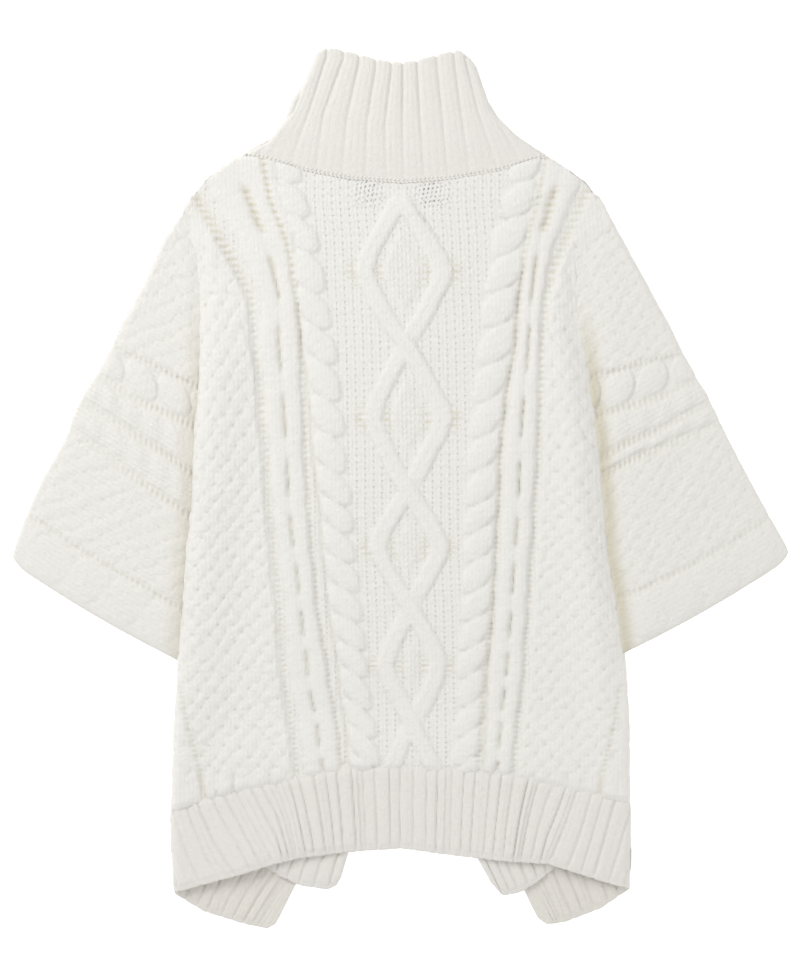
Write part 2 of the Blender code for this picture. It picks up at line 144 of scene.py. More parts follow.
# Where each band of the back's knitting runs, down the back: left side, middle, right side
columnsOfBack = table(
    ("y", "middle", "ropeL", "innerL", "slitL", "outerL", "ropeR", "innerR", "slitR", "outerR"),
    (345, -2, -128, -145, -176, -240, 136, 152, 174, 215),
    (302, -2, -118, -135, -158, -214, 125, 143, 158, 192),
    (262, 1, -105, -122, -143, -190, 117, 133, 146, 172),
    (230, 2, -99, -114, -133, -170, 111, 128, 140, 160),
    (200, 3, -95, -110, -128, -157, 105, 123, 137, 152),
    (150, 5, -87, -105, -126, -151, 101, 118, 133, 148),
    (92, 6, -79, -102, -123, -146, 93, 110, 129, 146),
    (34, 7, -75, -99, -120, -141, 87, 104, 125, 144),
    (-20, 7, -69, -96, -116, -137, 85, 102, 122, 140),
    (-79, 8, -64, -91, -110, -132, 82, 99, 119, 137),
    (-126, 10, -58, -86, -105, -128, 80, 96, 116, 134),
    (-182, 11, -52, -78, -98, -123, 76, 90, 111, 129),
    (-246, 12, -44, -68, -88, -115, 73, 84, 105, 123),
    (-300, 12, -36, -60, -79, -108, 70, 80, 99, 117),
)
# Pattern rows: count of diamonds from the neck, and the slits in the open cables
rowsOfBack = table(
    ("y", "diamond", "slit", "halfWidth"),
    (349, -0.30, -1.78, 44), (304, 0.0, -1.17, 44), (219, 0.55, 0.0, 44), (150, 1.0, 0.95, 42),
    (72, 1.5, 2.0, 39), (-2, 2.0, 3.17, 36), (-62, 2.5, 4.35, 34), (-126, 3.0, 5.6, 31),
    (-185, 3.5, 7.0, 29), (-246, 4.0, 8.65, 28), (-300, 4.45, 10.1, 27),
)
# The strip of knitting beside each vent, by its inner edge
ventEdge = table(("y", "x"), (-196, 232), (-212, 229), (-254, 222), (-328, 204), (-345, 200))


def underside(x, y, left, right):
    fromFold = np.minimum(x - left, right - x)
    besideFold = 1.0 - smooth(fromFold, 15.0, 70.0)
    belowYoke = 1.0 - smooth(y, 110.0, 225.0)
    overBands = 1.0 - smooth(y, -288.0, -225.0)
    fold = (garment["foldLift"] - garment["nearRest"]) * besideFold * belowYoke
    hem = (garment["hemLift"] - garment["nearRest"]) * overBands
    return garment["nearRest"] + np.maximum(fold, hem)


def ropeRelief(across, turns, pitch, lean, half):
    # A two-strand rope cable: plump lobes, each tucked under the next. lean is 1 for "\\" and -1 for "/"
    turn = math.radians(45)
    long, wide = 1.0 * half / math.sin(turn), 0.60 * pitch * math.sin(turn)
    best = np.zeros(np.shape(across))
    for step in (-1, 0, 1):
        down = (turns - np.round(turns) - step) * pitch
        along = (lean * across * math.sin(turn) + down * math.cos(turn)) / long
        side = (lean * across * math.cos(turn) - down * math.sin(turn)) / wide
        height = np.clip(1.0 - np.abs(along) ** 2.4 - np.abs(side) ** 2.2, 0.0, 1.0)
        best = np.maximum(best, height ** 0.66 * (1.0 + 0.12 * along))
    return 0.56 * best + 0.44 * dome(np.clip(across / half, -1, 1)) ** 0.7 * smooth(best, 0.0, 0.5)


def weaveRelief(s, t, seed=1):
    # Interlaced diagonal strands: pillows whose ends run under their neighbours, and a mask for painted
    # shade in the pits at the corners
    p, q = s + t, s - t
    i, j = np.floor(p), np.floor(q)
    best = np.zeros(np.shape(p))
    for stepI, stepJ in ((0, 0), (1, 0), (-1, 0), (0, 1), (0, -1)):
        cellI, cellJ = i + stepI, j + stepJ
        a, b = p - cellI - 0.5, q - cellJ - 0.5
        over = ((cellI + cellJ) % 2) == 0
        along, across = np.where(over, a, b), np.where(over, b, a)
        plump = 0.84 + 0.16 * np.sin(cellI * 12.9 + cellJ * 78.2 + seed)
        height = np.clip(1.0 - np.abs(along / 0.80) ** 2.2 - np.abs(across / 0.57) ** 2.2, 0.0, 1.0)
        best = np.maximum(best, height ** 0.62 * plump)
    a, b = p - i - 0.5, q - j - 0.5
    # painted shade: where the darkened pits between the pillows fall
    cornerShadeSpot = bell(np.abs(a) - 0.5, 0.11) * bell(np.abs(b) - 0.5, 0.11)
    return best, cornerShadeSpot


backStitch = {
    "strandHalf": 10.2,
    "strandHeight": 2.8,
    "coreHeight": 1.2,
    "ropeHeight": 3.8,
    "ribHeight": 3.1,
    "weaveHeight": 2.6,
    "weaveBase": 0.8,
    "weaveWide": 17.5,
    "rowsPerWeave": 3.55,
    "slitDepth": 1.9,
    "ladderDepth": 1.5,
    "stripHeight": 1.8,
}


def backRelief(x, y):
    x = x + 1.3 * wander(x, y, 55.0, 21) + 0.5 * wander(x, y, 17.0, 22)
    y = y + 1.6 * wander(x, y, 60.0, 23) + 0.5 * wander(x, y, 19.0, 24)
    col = {name: read(columnsOfBack, "y", name, y) for name in columnsOfBack if name != "y"}
    tau = read(rowsOfBack, "y", "diamond", y)
    slit = read(rowsOfBack, "y", "slit", y)
    half = read(rowsOfBack, "y", "halfWidth", y)
    rows = tau * garment["rowsPerDiamond"]
    bars = 0.5 + 0.5 * np.cos(rows * math.tau)
    dx = x - col["middle"]

    height = np.zeros_like(x)
    purl = np.ones_like(x)
    plain = np.full_like(x, 0.42)
    # how far each point's colour is darkened as painted shade in pits, gutters, slits, ladders and vents
    deep = np.zeros_like(x)

    # diamonds
    saw = np.abs(tau - np.round(tau)) * 2.0
    saw = np.sin(saw * math.pi / 2) * 0.22 + saw * 0.78 - 0.05 * bell(saw - 1.0, 0.12)
    started = smooth(tau, -0.06, 0.05)
    reach = half * saw
    for side in (-1.0, 1.0):
        off = (dx - side * reach) / backStitch["strandHalf"]
        strand = dome(np.clip(off, -1, 1)) ** 0.7 * (1.0 - 0.14 * bell(off, 0.2))
        goesOver = np.where(tau - np.floor(tau) > 0.5, side < 0, side > 0)
        near = bell(saw, 0.22)
        lift = backStitch["strandHeight"] + near * np.where(goesOver, 0.9, -1.3)
        height = np.maximum(height, strand * lift * started)
        inside = smooth(strand, 0.05, 0.45) * started
        purl = purl * (1.0 - inside)
        plain = mix(plain, 0.3, inside)
    core = smooth(reach - 20.0 - np.abs(dx), -3.0, 5.0) * started
    height = height + core * backStitch["coreHeight"]
    purl = purl * (1.0 - core)
    plain = np.maximum(plain, core * 0.7)
    # painted shade in the pits at the diamonds' corners
    corner = bell(saw - 1.0, 0.16) * started
    for place, wide in ((reach - 15.0, 4.2), (reach + 14.0, 5.5)):
        deep = np.maximum(deep, 0.9 * corner * bell(np.abs(dx) - place, wide) * bars ** 2)

    # rope cables, open cables and ladders on either side
    yoke = smooth(y, 175.0, 290.0)
    opened = smooth(0.5 + 0.5 * np.cos(slit * math.tau), 0.02, 0.5) * smooth(tau, -0.35, -0.1)
    turns, pitch, ropeHalf = tau * 4.05, 38.0 - 3.1 * tau, 17.6 - 0.55 * tau
    for side, tag in ((-1.0, "L"), (1.0, "R")):
        rope = x - col["rope" + tag] + side * 1.2
        lobes = ropeRelief(rope, turns, pitch, -side, ropeHalf)
        zone = smooth(ropeHalf + 1.5 - np.abs(rope), 0.0, 3.0)
        height = mix(height, lobes * backStitch["ropeHeight"], zone)
        purl, plain = purl * (1 - zone), mix(plain, 0.3, zone)
        gutter = bell(side * rope - ropeHalf - 1.2, 2.4)
        height = height - 1.6 * gutter * (1 - zone)
        # painted shade in the gutter beside each rope
        deep = np.maximum(deep, 0.25 * gutter * (1 - zone))

        inner = side * (x - col["inner" + tag])
        outer = side * (x - col["outer" + tag])
        middle = side * (x - col["slit" + tag])
        ribWide = np.maximum((col["outer" + tag] - col["inner" + tag]) * side * 0.5 - 3.6, 5.0)
        inTwin = smooth(ribWide + 1.5 - np.abs(middle), 0.0, 2.5)
        centre = mix(ribWide * 0.42, ribWide * 0.53, opened)
        twin = np.maximum(dome(np.clip((middle - centre) / (ribWide * 0.53), -1, 1)),
                          dome(np.clip((middle + centre) / (ribWide * 0.53), -1, 1))) ** 0.8
        closed = dome(np.clip(middle / (ribWide * 0.7), -1, 1)) ** 0.8 * 0.78
        twin = mix(np.maximum(twin, closed), twin, opened)
        height = mix(height, twin * backStitch["ribHeight"], inTwin)
        purl, plain = purl * (1 - inTwin), mix(plain, 0.3, inTwin)
        slitLine = bell(middle, 2.3 + 2.4 * yoke ** 2) * opened
        height = height - backStitch["slitDepth"] * slitLine
        # painted shade in the open slits, more at the yoke
        deep = np.maximum(deep, (0.3 + 0.6 * yoke) * slitLine * (1.0 - 0.85 * yoke * (1.0 - bars)))

        # painted shade in the ladders, more on the left side at the yoke
        for line, wide, ladderShade in ((inner, 3.0, 0.42), (outer, 3.2 + 4.5 * yoke, 0.42)):
            ladder = bell(line, wide)
            height = height - ladder * (0.6 + backStitch["ladderDepth"] * bars)
            deep = np.maximum(deep, ladder * bars ** 1.5 * (ladderShade + (0.55 if side < 0 else 0.12) * yoke))
            purl = purl * (1 - ladder)

        # interlaced field out to the fold
        field = smooth(outer - 3.2, 0.0, 5.0)
        weaveX = (x - col["outer" + tag]) / backStitch["weaveWide"] + 0.25 + 0.11 * wander(x, y, 27.0, 33)
        weaveY = rows / backStitch["rowsPerWeave"] + 0.11 * wander(x, y, 24.0, 34)
        weave, cornerShade = weaveRelief(weaveX, weaveY)
        height = mix(height, backStitch["weaveBase"] + weave * backStitch["weaveHeight"], field)
        purl, plain = purl * (1 - field), mix(plain, 0.3, field)
        # painted shade in the pits of the interlaced field
        deep = mix(deep, 0.4 * cornerShade, field)
        edgeX = read(ventEdge, "y", "x", y)
        vent = bell(side * x - edgeX, 3.0) * smooth(-y, 196.0, 214.0)
        height = height - vent * (0.6 + 1.2 * bars)
        # painted shade in the vent's ladder
        deep = np.maximum(deep, vent * bars * 0.5)
        beyond = smooth(side * x - edgeX - 4.0, 0.0, 3.0) * smooth(-y, 200.0, 220.0)
        strip = ropeRelief(side * x - edgeX - 17.0, turns + 0.4, pitch, -side, 13.0)
        height = mix(height, 1.0 + strip * backStitch["stripHeight"], beyond)
        deep = deep * (1 - beyond)

    # the label that darkens the stitches behind the neck
    overLeft = bell(x + 33.0, 13.0) * smooth(y, 286, 306)
    overRight = bell(x - 32.0, 16.0) * smooth(y, 283, 303)
    dark = np.maximum(overLeft, overRight) * purl * (0.75 + 0.32 * wander(x, y, 15.0, 5))
    dark = dark * (1 - smooth(y, 319, 326))
    height = height * (1.0 + 0.10 * wander(x, y, 48.0, 3))
    height = height + 0.35 * wander(x, y, 90.0, 4) + tufts(x, y, 5)
    return height, purl, plain, deep, np.clip(dark, 0, 1), rows


def unit(vectors):
    return vectors / np.maximum(np.linalg.norm(vectors, axis=-1, keepdims=True), 1e-9)


def slopes(points, axis, closed):
    if closed:
        return np.roll(points, -1, axis) - np.roll(points, 1, axis)
    return np.gradient(points, axis=axis)


def normalsOf(points, closeRows=False, closeColumns=False):
    return unit(np.cross(slopes(points, 1, closeColumns), slopes(points, 0, closeRows)))


def gridMesh(name, points, marks, stitches, material, closeRows=False, closeColumns=False, keep=None,
             ends=None, wrapU=0.0):
    # A mesh from a grid of points; ends pairs up the rows whose first and last columns are bridged
    rows, columns = points.shape[:2]
    placed = (points + np.array([shiftX, shiftY, 0.0])) * mm
    r, c = np.mgrid[:rows if closeRows else rows - 1, :columns if closeColumns else columns - 1]
    nextR, nextC = (r + 1) % rows, (c + 1) % columns
    quads = np.stack([r * columns + c, r * columns + nextC, nextR * columns + nextC, nextR * columns + c],
                     axis=-1)
    quads = quads.reshape(-1, 4) if keep is None else quads[keep]
    if ends is not None:
        top, low = ends
        for column, order in ((0, (0, 1, 2, 3)), (columns - 1, (3, 2, 1, 0))):
            strip = np.stack([top[:-1], top[1:], low[1:], low[:-1]], axis=1)[:, order] * columns + column
            quads = np.concatenate([quads, strip])
    wraps = (quads[:, 0] % columns == columns - 1) & closeColumns
    used, quads = np.unique(quads, return_inverse=True)
    quads = quads.reshape(-1, 4)
    unwrapped = stitches.reshape(-1, 2)[used][quads]
    unwrapped[wraps, 1:3, 0] += wrapU

    mesh = bpy.data.meshes.new(name)
    mesh.vertices.add(len(used))
    mesh.vertices.foreach_set("co", placed.reshape(-1, 3)[used].astype(np.float32).ravel())
    mesh.loops.add(quads.size)
    mesh.loops.foreach_set("vertex_index", quads.astype(np.int32).ravel())
    mesh.polygons.add(len(quads))
    mesh.polygons.foreach_set("loop_start", np.arange(0, quads.size, 4, dtype=np.int32))
    mesh.update(calc_edges=True)
    mesh.validate()
    layer = mesh.uv_layers.new(name="stitches")
    layer.data.foreach_set("uv", unwrapped.astype(np.float32).ravel())
    for mark, values in marks.items():
        attribute = mesh.attributes.new(mark, "FLOAT", "POINT")
        attribute.data.foreach_set("value", np.asarray(values, np.float32).reshape(-1)[used])
    mesh.shade_smooth()
    mesh.materials.append(material)
    return addObject(name, mesh)


def shellOf(middle, wall, fields, closeColumns=False, rim=6):
    # Both faces of a cloth and its rounded edges, as one loop of rows round the cloth
    fields = list(fields)
    thick = np.ones(middle.shape[:2])
    if not closeColumns:
        for end in (0, -1):
            away = unit(middle[:, end] - middle[:, 1 if end == 0 else -2])
            base = middle[:, end].copy()
            for angle in np.linspace(0.0, math.radians(72), 4)[1:]:
                column = (base + away * wall / 2 * math.sin(angle))[:, None]
                slim = np.full((len(middle), 1), math.cos(angle))
                joined = (column, middle) if end == 0 else (middle, column)
                middle = np.concatenate(joined, axis=1)
                thick = np.concatenate((slim, thick) if end == 0 else (thick, slim), axis=1)
                edge = [f[:, :1] if end == 0 else f[:, -1:] for f in fields]
                fields = [np.concatenate((e, f) if end == 0 else (f, e), axis=1)
                          for e, f in zip(edge, fields)]
    normals = normalsOf(middle, closeColumns=closeColumns)
    half = (wall / 2 * thick)[..., None]
    upper, lower = middle + normals * half, middle - normals * half

    def rimOf(edge, inner):
        away = unit(middle[edge] - middle[inner])
        angles = np.linspace(0.0, math.pi, rim + 2)[1:-1]
        return np.array([middle[edge] + away * half[edge] * math.sin(t)
                         + normals[edge] * half[edge] * math.cos(t)
                         for t in angles])

    last, first = rimOf(-1, -2), rimOf(0, 1)[::-1]
    points = np.concatenate([upper, last, lower[::-1], first])
    fields = [np.concatenate([f, np.repeat(f[-1:], rim, axis=0), f[::-1], np.repeat(f[:1], rim, axis=0)])
              for f in fields]
    count = len(middle)
    top = np.concatenate([np.arange(-rim // 2, 0), np.arange(count), np.arange(count, count + rim // 2)])
    low = np.concatenate([np.arange(-rim // 2 - 1, -rim - 1, -1),
                          np.arange(2 * count + rim - 1, count + rim - 1, -1),
                          np.arange(count + rim - 1, count + rim // 2 - 1, -1)])
    total = len(points)
    return points, fields, (top % total, low % total)


def skin(name, points, relief, marks, stitches, material, keep=None):
    raised = points + normalsOf(points) * relief[..., None]
    raised[..., 2] = np.maximum(raised[..., 2], 0.1)
    return gridMesh(name, raised, marks, stitches, material, keep=keep)


def linear(hexColour):
    values = [int(hexColour[i:i + 2], 16) / 255 for i in (1, 3, 5)]
    return tuple(v / 12.92 if v <= 0.04045 else ((v + 0.055) / 1.055) ** 2.4 for v in values) + (1.0,)


def add(tree, kind, links=(), **settings):
    made = tree.nodes.new(kind)
    for key, value in settings.items():
        setattr(made, key, value)
    for socket, source in links:
        if isinstance(source, bpy.types.NodeSocket):
            tree.links.new(source, made.inputs[socket])
        else:
            made.inputs[socket].default_value = source
    return made


def calculator(tree):
    def calc(operation, *values):
        return add(tree, "ShaderNodeMath", list(enumerate(values)), operation=operation).outputs[0]
    return calc


def blended(tree, factor, first, second):
    links = [("Factor", factor), ("A", first), ("B", second)]
    return add(tree, "ShaderNodeMix", links, data_type="RGBA").outputs["Result"]


def emptyMaterial(name):
    material = bpy.data.materials.new(name)
    material.use_nodes = True
    material.node_tree.nodes.clear()
    return material, material.node_tree


def knitMaterial(name, look):
    material, tree = emptyMaterial(name)
    calc = calculator(tree)

    def mark(title):
        return add(tree, "ShaderNodeAttribute", attribute_name=title).outputs["Fac"]

    def spot(across, down, core, rim):
        away = calc("SQRT", calc("ADD", calc("POWER", calc("ABSOLUTE", across), 2.0),
                                 calc("POWER", calc("ABSOLUTE", down), 2.0)))
        return add(tree, "ShaderNodeMapRange", [(0, away), (1, core), (2, rim), (3, 1.0), (4, 0.0)],
                   interpolation_type="SMOOTHSTEP").outputs[0]

    def noise(size, detail, roughness):
        return add(tree, "ShaderNodeTexNoise",
                   [("Vector", place), ("Scale", 1 / (size * mm)), ("Detail", detail),
                                                ("Roughness", roughness)]).outputs[0]

    uv = add(tree, "ShaderNodeUVMap", uv_map="stitches").outputs[0]
    split = add(tree, "ShaderNodeSeparateXYZ", [(0, uv)])
    u, v = split.outputs[0], split.outputs[1]
    place = add(tree, "ShaderNodeTexCoord").outputs["Object"]

    # plain stitches: two legs that lean together
    fold = calc("PINGPONG", u, 0.5)
    leg = calc("ABSOLUTE", calc("SINE", calc("MULTIPLY", u, math.tau)))
    leg = calc("POWER", leg, 0.6)
    slope = calc("SINE", calc("MULTIPLY", calc("ADD", v, calc("MULTIPLY", fold, 1.3)), math.tau))
    vee = calc("MULTIPLY", leg, calc("MULTIPLY_ADD", slope, 0.30, 0.70))

    # purl stitches: bumps with a small hole beside each
    fu = calc("SUBTRACT", calc("FRACT", u), 0.5)
    fv = calc("SUBTRACT", calc("FRACT", v), 0.5)
    leaned = calc("ADD", fu, calc("MULTIPLY", fv, 0.25))
    hole = spot(calc("MULTIPLY", leaned, 3.6), calc("MULTIPLY", fv, 3.0), 0.1, 0.75)

    # specks of the dark label behind the stitches
    fu2 = calc("SUBTRACT", calc("FRACT", calc("MULTIPLY_ADD", u, 2.0, calc("MULTIPLY", v, 0.31))), 0.5)
    fv2 = calc("SUBTRACT", calc("FRACT", calc("MULTIPLY_ADD", v, 1.35, calc("MULTIPLY", u, 0.4))), 0.5)
    speck = spot(calc("MULTIPLY", fu2, 2.6), calc("MULTIPLY", fv2, 2.2), 0.15, 0.85)

    purl, plain, deep, dark = mark("purl"), mark("plain"), mark("deep"), mark("dark")
    fibre = noise(look["fibre"], 4.0, 0.62)
    yarn = noise(look["tuft"], 5.0, 0.65)
    holes = calc("MULTIPLY", calc("MULTIPLY", hole, purl), calc("MULTIPLY_ADD", yarn, 1.2, 0.25))
    height = calc("MULTIPLY", vee, plain)
    height = calc("SUBTRACT", height, calc("MULTIPLY", holes, 0.9))
    height = calc("MULTIPLY_ADD", fibre, look["fuzz"], height)
    height = calc("MULTIPLY_ADD", yarn, look["lumps"], height)
    bump = add(tree, "ShaderNodeBump", [("Strength", 1.0), ("Distance", look["stitchDeep"] * mm),
                                        ("Height", height)])

    # painted shade: the colour goes towards a darker, yellower tone where the deep mark is set (pits,
    # gutters, slits, ladders, vents, folds) and in the purl holes
    shade = calc("MAXIMUM", deep, calc("MULTIPLY", holes, 0.42))
    # painted shade in the creases between a stitch's two legs
    valleyShade = calc("MULTIPLY", calc("SUBTRACT", 1.0, leg), calc("MULTIPLY", plain, 0.22))
    shade = calc("MAXIMUM", shade, valleyShade)
    tone = blended(tree, calc("MULTIPLY", yarn, 0.5), linear(look["colour"]), linear(look["shadeColour"]))
    paintedShadeTone = blended(tree, shade, tone, linear(look["paintedShadeColour"]))
    patchy = calc("MULTIPLY_ADD", yarn, 3.0, -0.6)
    specks = calc("MINIMUM", calc("MULTIPLY", calc("MULTIPLY", dark, speck), patchy), 1.0)
    final = blended(tree, specks, paintedShadeTone, linear(look["speckColour"]))

    shader = add(tree, "ShaderNodeBsdfPrincipled", [("Base Color", final), ("Normal", bump.outputs[0]),
                                                    ("Roughness", 0.95), ("Specular IOR Level", 0.2),
                                                    ("Sheen Weight", 0.35), ("Sheen Roughness", 0.5)])
    add(tree, "ShaderNodeOutputMaterial", [("Surface", shader.outputs[0])])
    return material


woolLook = {
    "colour": "#f2f0ec",
    "shadeColour": "#ebe8e1",
    # the darker, yellower colour of the painted shade in pits, holes, ladders and creases
    "paintedShadeColour": "#d3ccb5",
    "speckColour": "#74787d",
    "fibre": 0.9,
    "tuft": 5.0,
    "fuzz": 0.9,
    "lumps": 1.3,
    "stitchDeep": 0.95,
}
cableWool = knitMaterial("cableKnitWool", woolLook)
sleeveWool = knitMaterial("sleeveKnitWool", {**woolLook, "colour": "#efede8"})
ribWool = knitMaterial("ribKnitWool", {**woolLook, "colour": "#ebe8e3"})
print("materials made")


backCut = {
    "across": 236,
    "down": 350,
    "arc": 9,
    "turn": 5,
    "top": 302.0,
    "hem": {"left": -340.0, "right": -331.0},
    "foldRound": {"left": 6.0, "right": 10.0},
    "flankEnd": {"left": -97.0, "right": 115.0},
    "flankDrop": {"left": -45.0, "right": -57.0},
    "topRoll": 8,
    "rollOut": 2.6,
    "lip": 3.0,
    "edgeEase": {"left": 0.25, "right": 0.55},
    "armhole": {"left": (246.0, 288.0), "right": (232.0, 272.0)},
    "joins": {"left": 110.0, "right": 62.0},
    "seamSink": 2.0,
    "hemSink": 1.7,
    "sag": {"left": 1.8, "right": 7.6},
    "sagStart": (-280.0, -180.0),
    "sagEnds": {"left": (140.0, 235.0), "right": (165.0, 230.0)},
    "sagWide": {"left": 16.0, "right": 34.0},
}


def sagging(side, y):
    return smooth(y, *backCut["sagStart"]) * (1 - smooth(y, *backCut["sagEnds"][side]))


def sewnDown(side, y):
    # How far the back's edge is sewn down along the armhole
    low, high = backCut["armhole"][side]
    return smooth(y, low - backCut["joins"][side], low - 10) * (1 - smooth(y, high - 6, high))


def makeBack():
    wall, hem = garment["wall"], backCut["hem"]
    arc, turn, across = backCut["arc"], backCut["turn"], backCut["across"]
    flank = arc + turn
    near = slice(flank, flank + across)
    total = flank * 2 + across
    rows = backCut["down"] + backCut["topRoll"]
    points = np.zeros((rows, total, 3))
    spreadX = np.zeros((rows, total))
    keep = np.ones((rows - 1, total - 1), bool)
    for r, height in enumerate(np.linspace(hem["left"], backCut["top"], backCut["down"])):
        up = (height - hem["left"]) / (backCut["top"] - hem["left"])
        line = {"left": height, "right": mix(hem["right"], backCut["top"], up)}
        folds = {side: float(read(sideFolds, "y", side, line[side])) for side in signOf}
        lifted, roundness, swing = {}, {}, {}
        for side in signOf:
            at, under = line[side], garment["underarm"][side]
            lift = float(underside(folds[side], at, folds["left"], folds["right"])) + wall
            lift -= backCut["sag"][side] * float(sagging(side, at))
            sewn = float(sewnDown(side, at))
            aboveHem = float(smooth(at - hem[side], 0.0, 9.0))
            lift -= backCut["seamSink"] * sewn + backCut["hemSink"] * (1 - aboveHem)
            armholeTop = backCut["armhole"][side][1]
            wrapped = float(smooth(-at, -under - 4, -under + 10))
            wrapped = max(wrapped, float(smooth(at, armholeTop - 4, armholeTop + 6)))
            foldRound = min(backCut["foldRound"][side], (lift - 0.5) / 1.15)
            lifted[side] = lift
            roundness[side] = mix(mix(foldRound, 0.8, sewn), lift / 2 - 1.2, wrapped)
            swing[side] = mix(math.radians(98), math.pi, wrapped)
        x = np.linspace(folds["left"] + roundness["left"], folds["right"] - roundness["right"], across)
        part = (x - folds["left"]) / (folds["right"] - folds["left"])
        topY = read(topEdge, "x", "y", mix(topEdge["x"][0], topEdge["x"][-1], part))
        lowY = read(hemLines, "x", "seam", mix(hemLines["x"][0], hemLines["x"][-1], part))
        y = mix(lowY, topY, up)
        z = underside(x, y, folds["left"], folds["right"]) + wall
        for side in signOf:
            toFold = np.abs(x - folds[side])
            sag = backCut["sag"][side] * (1 - smooth(toFold, 0.0, backCut["sagWide"][side]))
            z = z - sag * sagging(side, y)
        z = z - backCut["hemSink"] * (1 - smooth(y - lowY, 0.0, 9.0))
        for side in signOf:
            toFold = np.abs(x - folds[side])
            z = z - backCut["seamSink"] * sewnDown(side, y) * (1 - smooth(toFold, 1.0, 16.0))
        points[r, near] = np.stack([x, y, z], axis=1)
        spreadX[r, near] = x
        for side, sign in signOf.items():
            at, fold, radius, under = line[side], folds[side], roundness[side], garment["underarm"][side]
            turned = max(0.0, (under - at) / (under - hem[side]))
            angles = np.linspace(0.0, swing[side], arc + 1)[1:]
            arcX = fold - sign * radius * (1 - np.sin(angles))
            arcZ = lifted[side] - radius * (1 - np.cos(angles))
            cornerY = y[0] if side == "left" else y[-1]
            arcY = mix(cornerY, at, 0.5 - 0.5 * np.cos(angles))
            share = np.linspace(0.0, 1.0, turn + 1)[1:]
            lastX = mix(fold - sign * 20.0, backCut["flankEnd"][side], turned)
            turnX = mix(arcX[-1], lastX, share)
            turnY = at + backCut["flankDrop"][side] * turned * share
            turnZ = np.full(turn, max(arcZ[-1], 0.2))
            placeFlank(points, r, side, np.stack([np.append(arcX, turnX), np.append(arcY, turnY),
                                                  np.append(arcZ, turnZ)], axis=1))
            run = np.append(radius * angles, radius * swing[side] + np.abs(turnX - arcX[-1]))
            placeFlank(spreadX, r, side, fold - sign * radius + sign * run)
            if r and at > under + 2:
                placeFlank(keep, r - 1, side, [True] * arc + [False] * turn)
    points[0, :, 2] = np.maximum(points[0, :, 2] - backCut["lip"], 0.2)
    last = backCut["down"] - 1
    ends = smooth(np.minimum(points[last, :, 0] + 219.0, 208.0 - points[last, :, 0]), 0.0, 8.0)
    points[last, :, 1] -= backCut["rollOut"] * ends
    for step in range(1, backCut["topRoll"] + 1):
        angle = step / backCut["topRoll"] * math.pi
        points[last + step] = points[last]
        points[last + step, :, 1] += backCut["rollOut"] * ends * math.sin(angle)
        points[last + step, :, 2] *= 0.56 + 0.44 * math.cos(angle)
        spreadX[last + step] = spreadX[last]
        keep[last + step - 1, :turn] = False
        keep[last + step - 1, -turn:] = False

    y = points[..., 1]
    height, purl, plain, deep, dark, pattern = backRelief(spreadX, y)
    middle = read(columnsOfBack, "y", "middle", y)
    uv = np.stack([(spreadX - middle) / garment["stitchWide"] + 0.5, pattern], axis=-1)
    for side in signOf:
        fromFold = np.abs(spreadX - read(sideFolds, "y", side, y))
        besideFold = (1 - smooth(fromFold, 3.0, 20.0)) * smooth(-y, -200.0, -150.0)
        height = height * (1 - backCut["edgeEase"][side] * besideFold) + 0.6 * besideFold
        low, high = backCut["armhole"][side]
        sewn = (1 - smooth(fromFold, 1.0, 20.0)) * smooth(y, low - 70.0, low - 20.0)
        shoulder = bell(y - high, 9.0) * smooth(np.abs(spreadX), 165.0, 190.0)
        sewn = np.maximum(sewn, shoulder)
        height = height * (1 - 0.65 * sewn) + 0.4 * sewn
        # less painted shade where the edge is sewn down
        deep = deep * (1 - 0.15 * sewn)
    seamEase = smooth(y - read(hemLines, "x", "seam", points[..., 0]), 0.0, 9.0)
    neckEase = smooth(read(topEdge, "x", "y", points[..., 0]) - y, -1.0, 6.0)
    height = height * mix(0.6, 1.0, seamEase) * mix(0.4, 1.0, neckEase)
    height[last + 1:] = 0.0
    height = height - (1 - seamEase) * 0.3
    marks = {"purl": purl, "plain": plain, "deep": deep, "dark": dark}
    return skin("backKnit", points, height, marks, uv, cableWool, keep=keep)


back = makeBack()
print("back knitted:", len(back.data.polygons) * 2, "triangles")


# The sleeves, cut as two layers folded at the outer edge; a runs from armhole to cuff
sleeveEdge = {
    "left": table(
        ("x", "y"),
        (-233, 285), (-251, 260), (-270, 218), (-293, 176), (-313, 134), (-339, 92), (-355, 50), (-379, 8),
        (-397, -34), (-411, -75),
    ),
    "right": table(
        ("x", "y"),
        (226, 277), (258, 218), (281, 176), (302, 134), (326, 92), (346, 50), (368, 8),
        (391, -34), (411, -70),
    ),
}
# Where each line across the sleeve starts on the outer edge and ends at the armhole
sleeveLines = {
    "left": table(("outer", "inner"), (0, 0), (0.38, 0.34), (0.47, 0.44), (0.545, 0.55), (0.62, 0.66),
                  (0.875, 0.88), (1, 1)),
    "right": table(("outer", "inner"), (0, 0), (0.387, 0.30), (0.475, 0.405), (0.54, 0.51), (0.60, 0.547),
                   (0.89, 0.87), (1, 1)),
}
sleeveCut = {
    "rows": 250,
    "across": 128,
    "arc": 12,
    "under": 26,
    "armholeTop": {"left": 250.0, "right": 240.0},
    "cuffInner": {"left": -184.5, "right": -176.0},
    "tuck": 8.0,
    "bow": 4.0,
    "corner": 7.0,
    "sink": 2.4,
    "crown": 7.6,
    "seamZ": 6.2,
    "slope": {"left": 32.0, "right": 48.0},
    "length": {"left": 415.0, "right": 400.0},
    "shade": {"left": (0.38, 14.0, 13.0), "right": (0.80, 13.0, 9.5)},
    "rowLength": 6.3,
    "weaveWide": 17.5,
    "weaveHeight": 1.6,
    "ropePitch": 40.0,
    "ropeHeight": 3.2,
    "ribHeight": 3.4,
    "cuffPitch": 44.0,
    "cuffHeight": 1.3,
    "edgeWall": 3.4,
    "edgeBack": 14.0,
    "edgeSteps": 5,
}


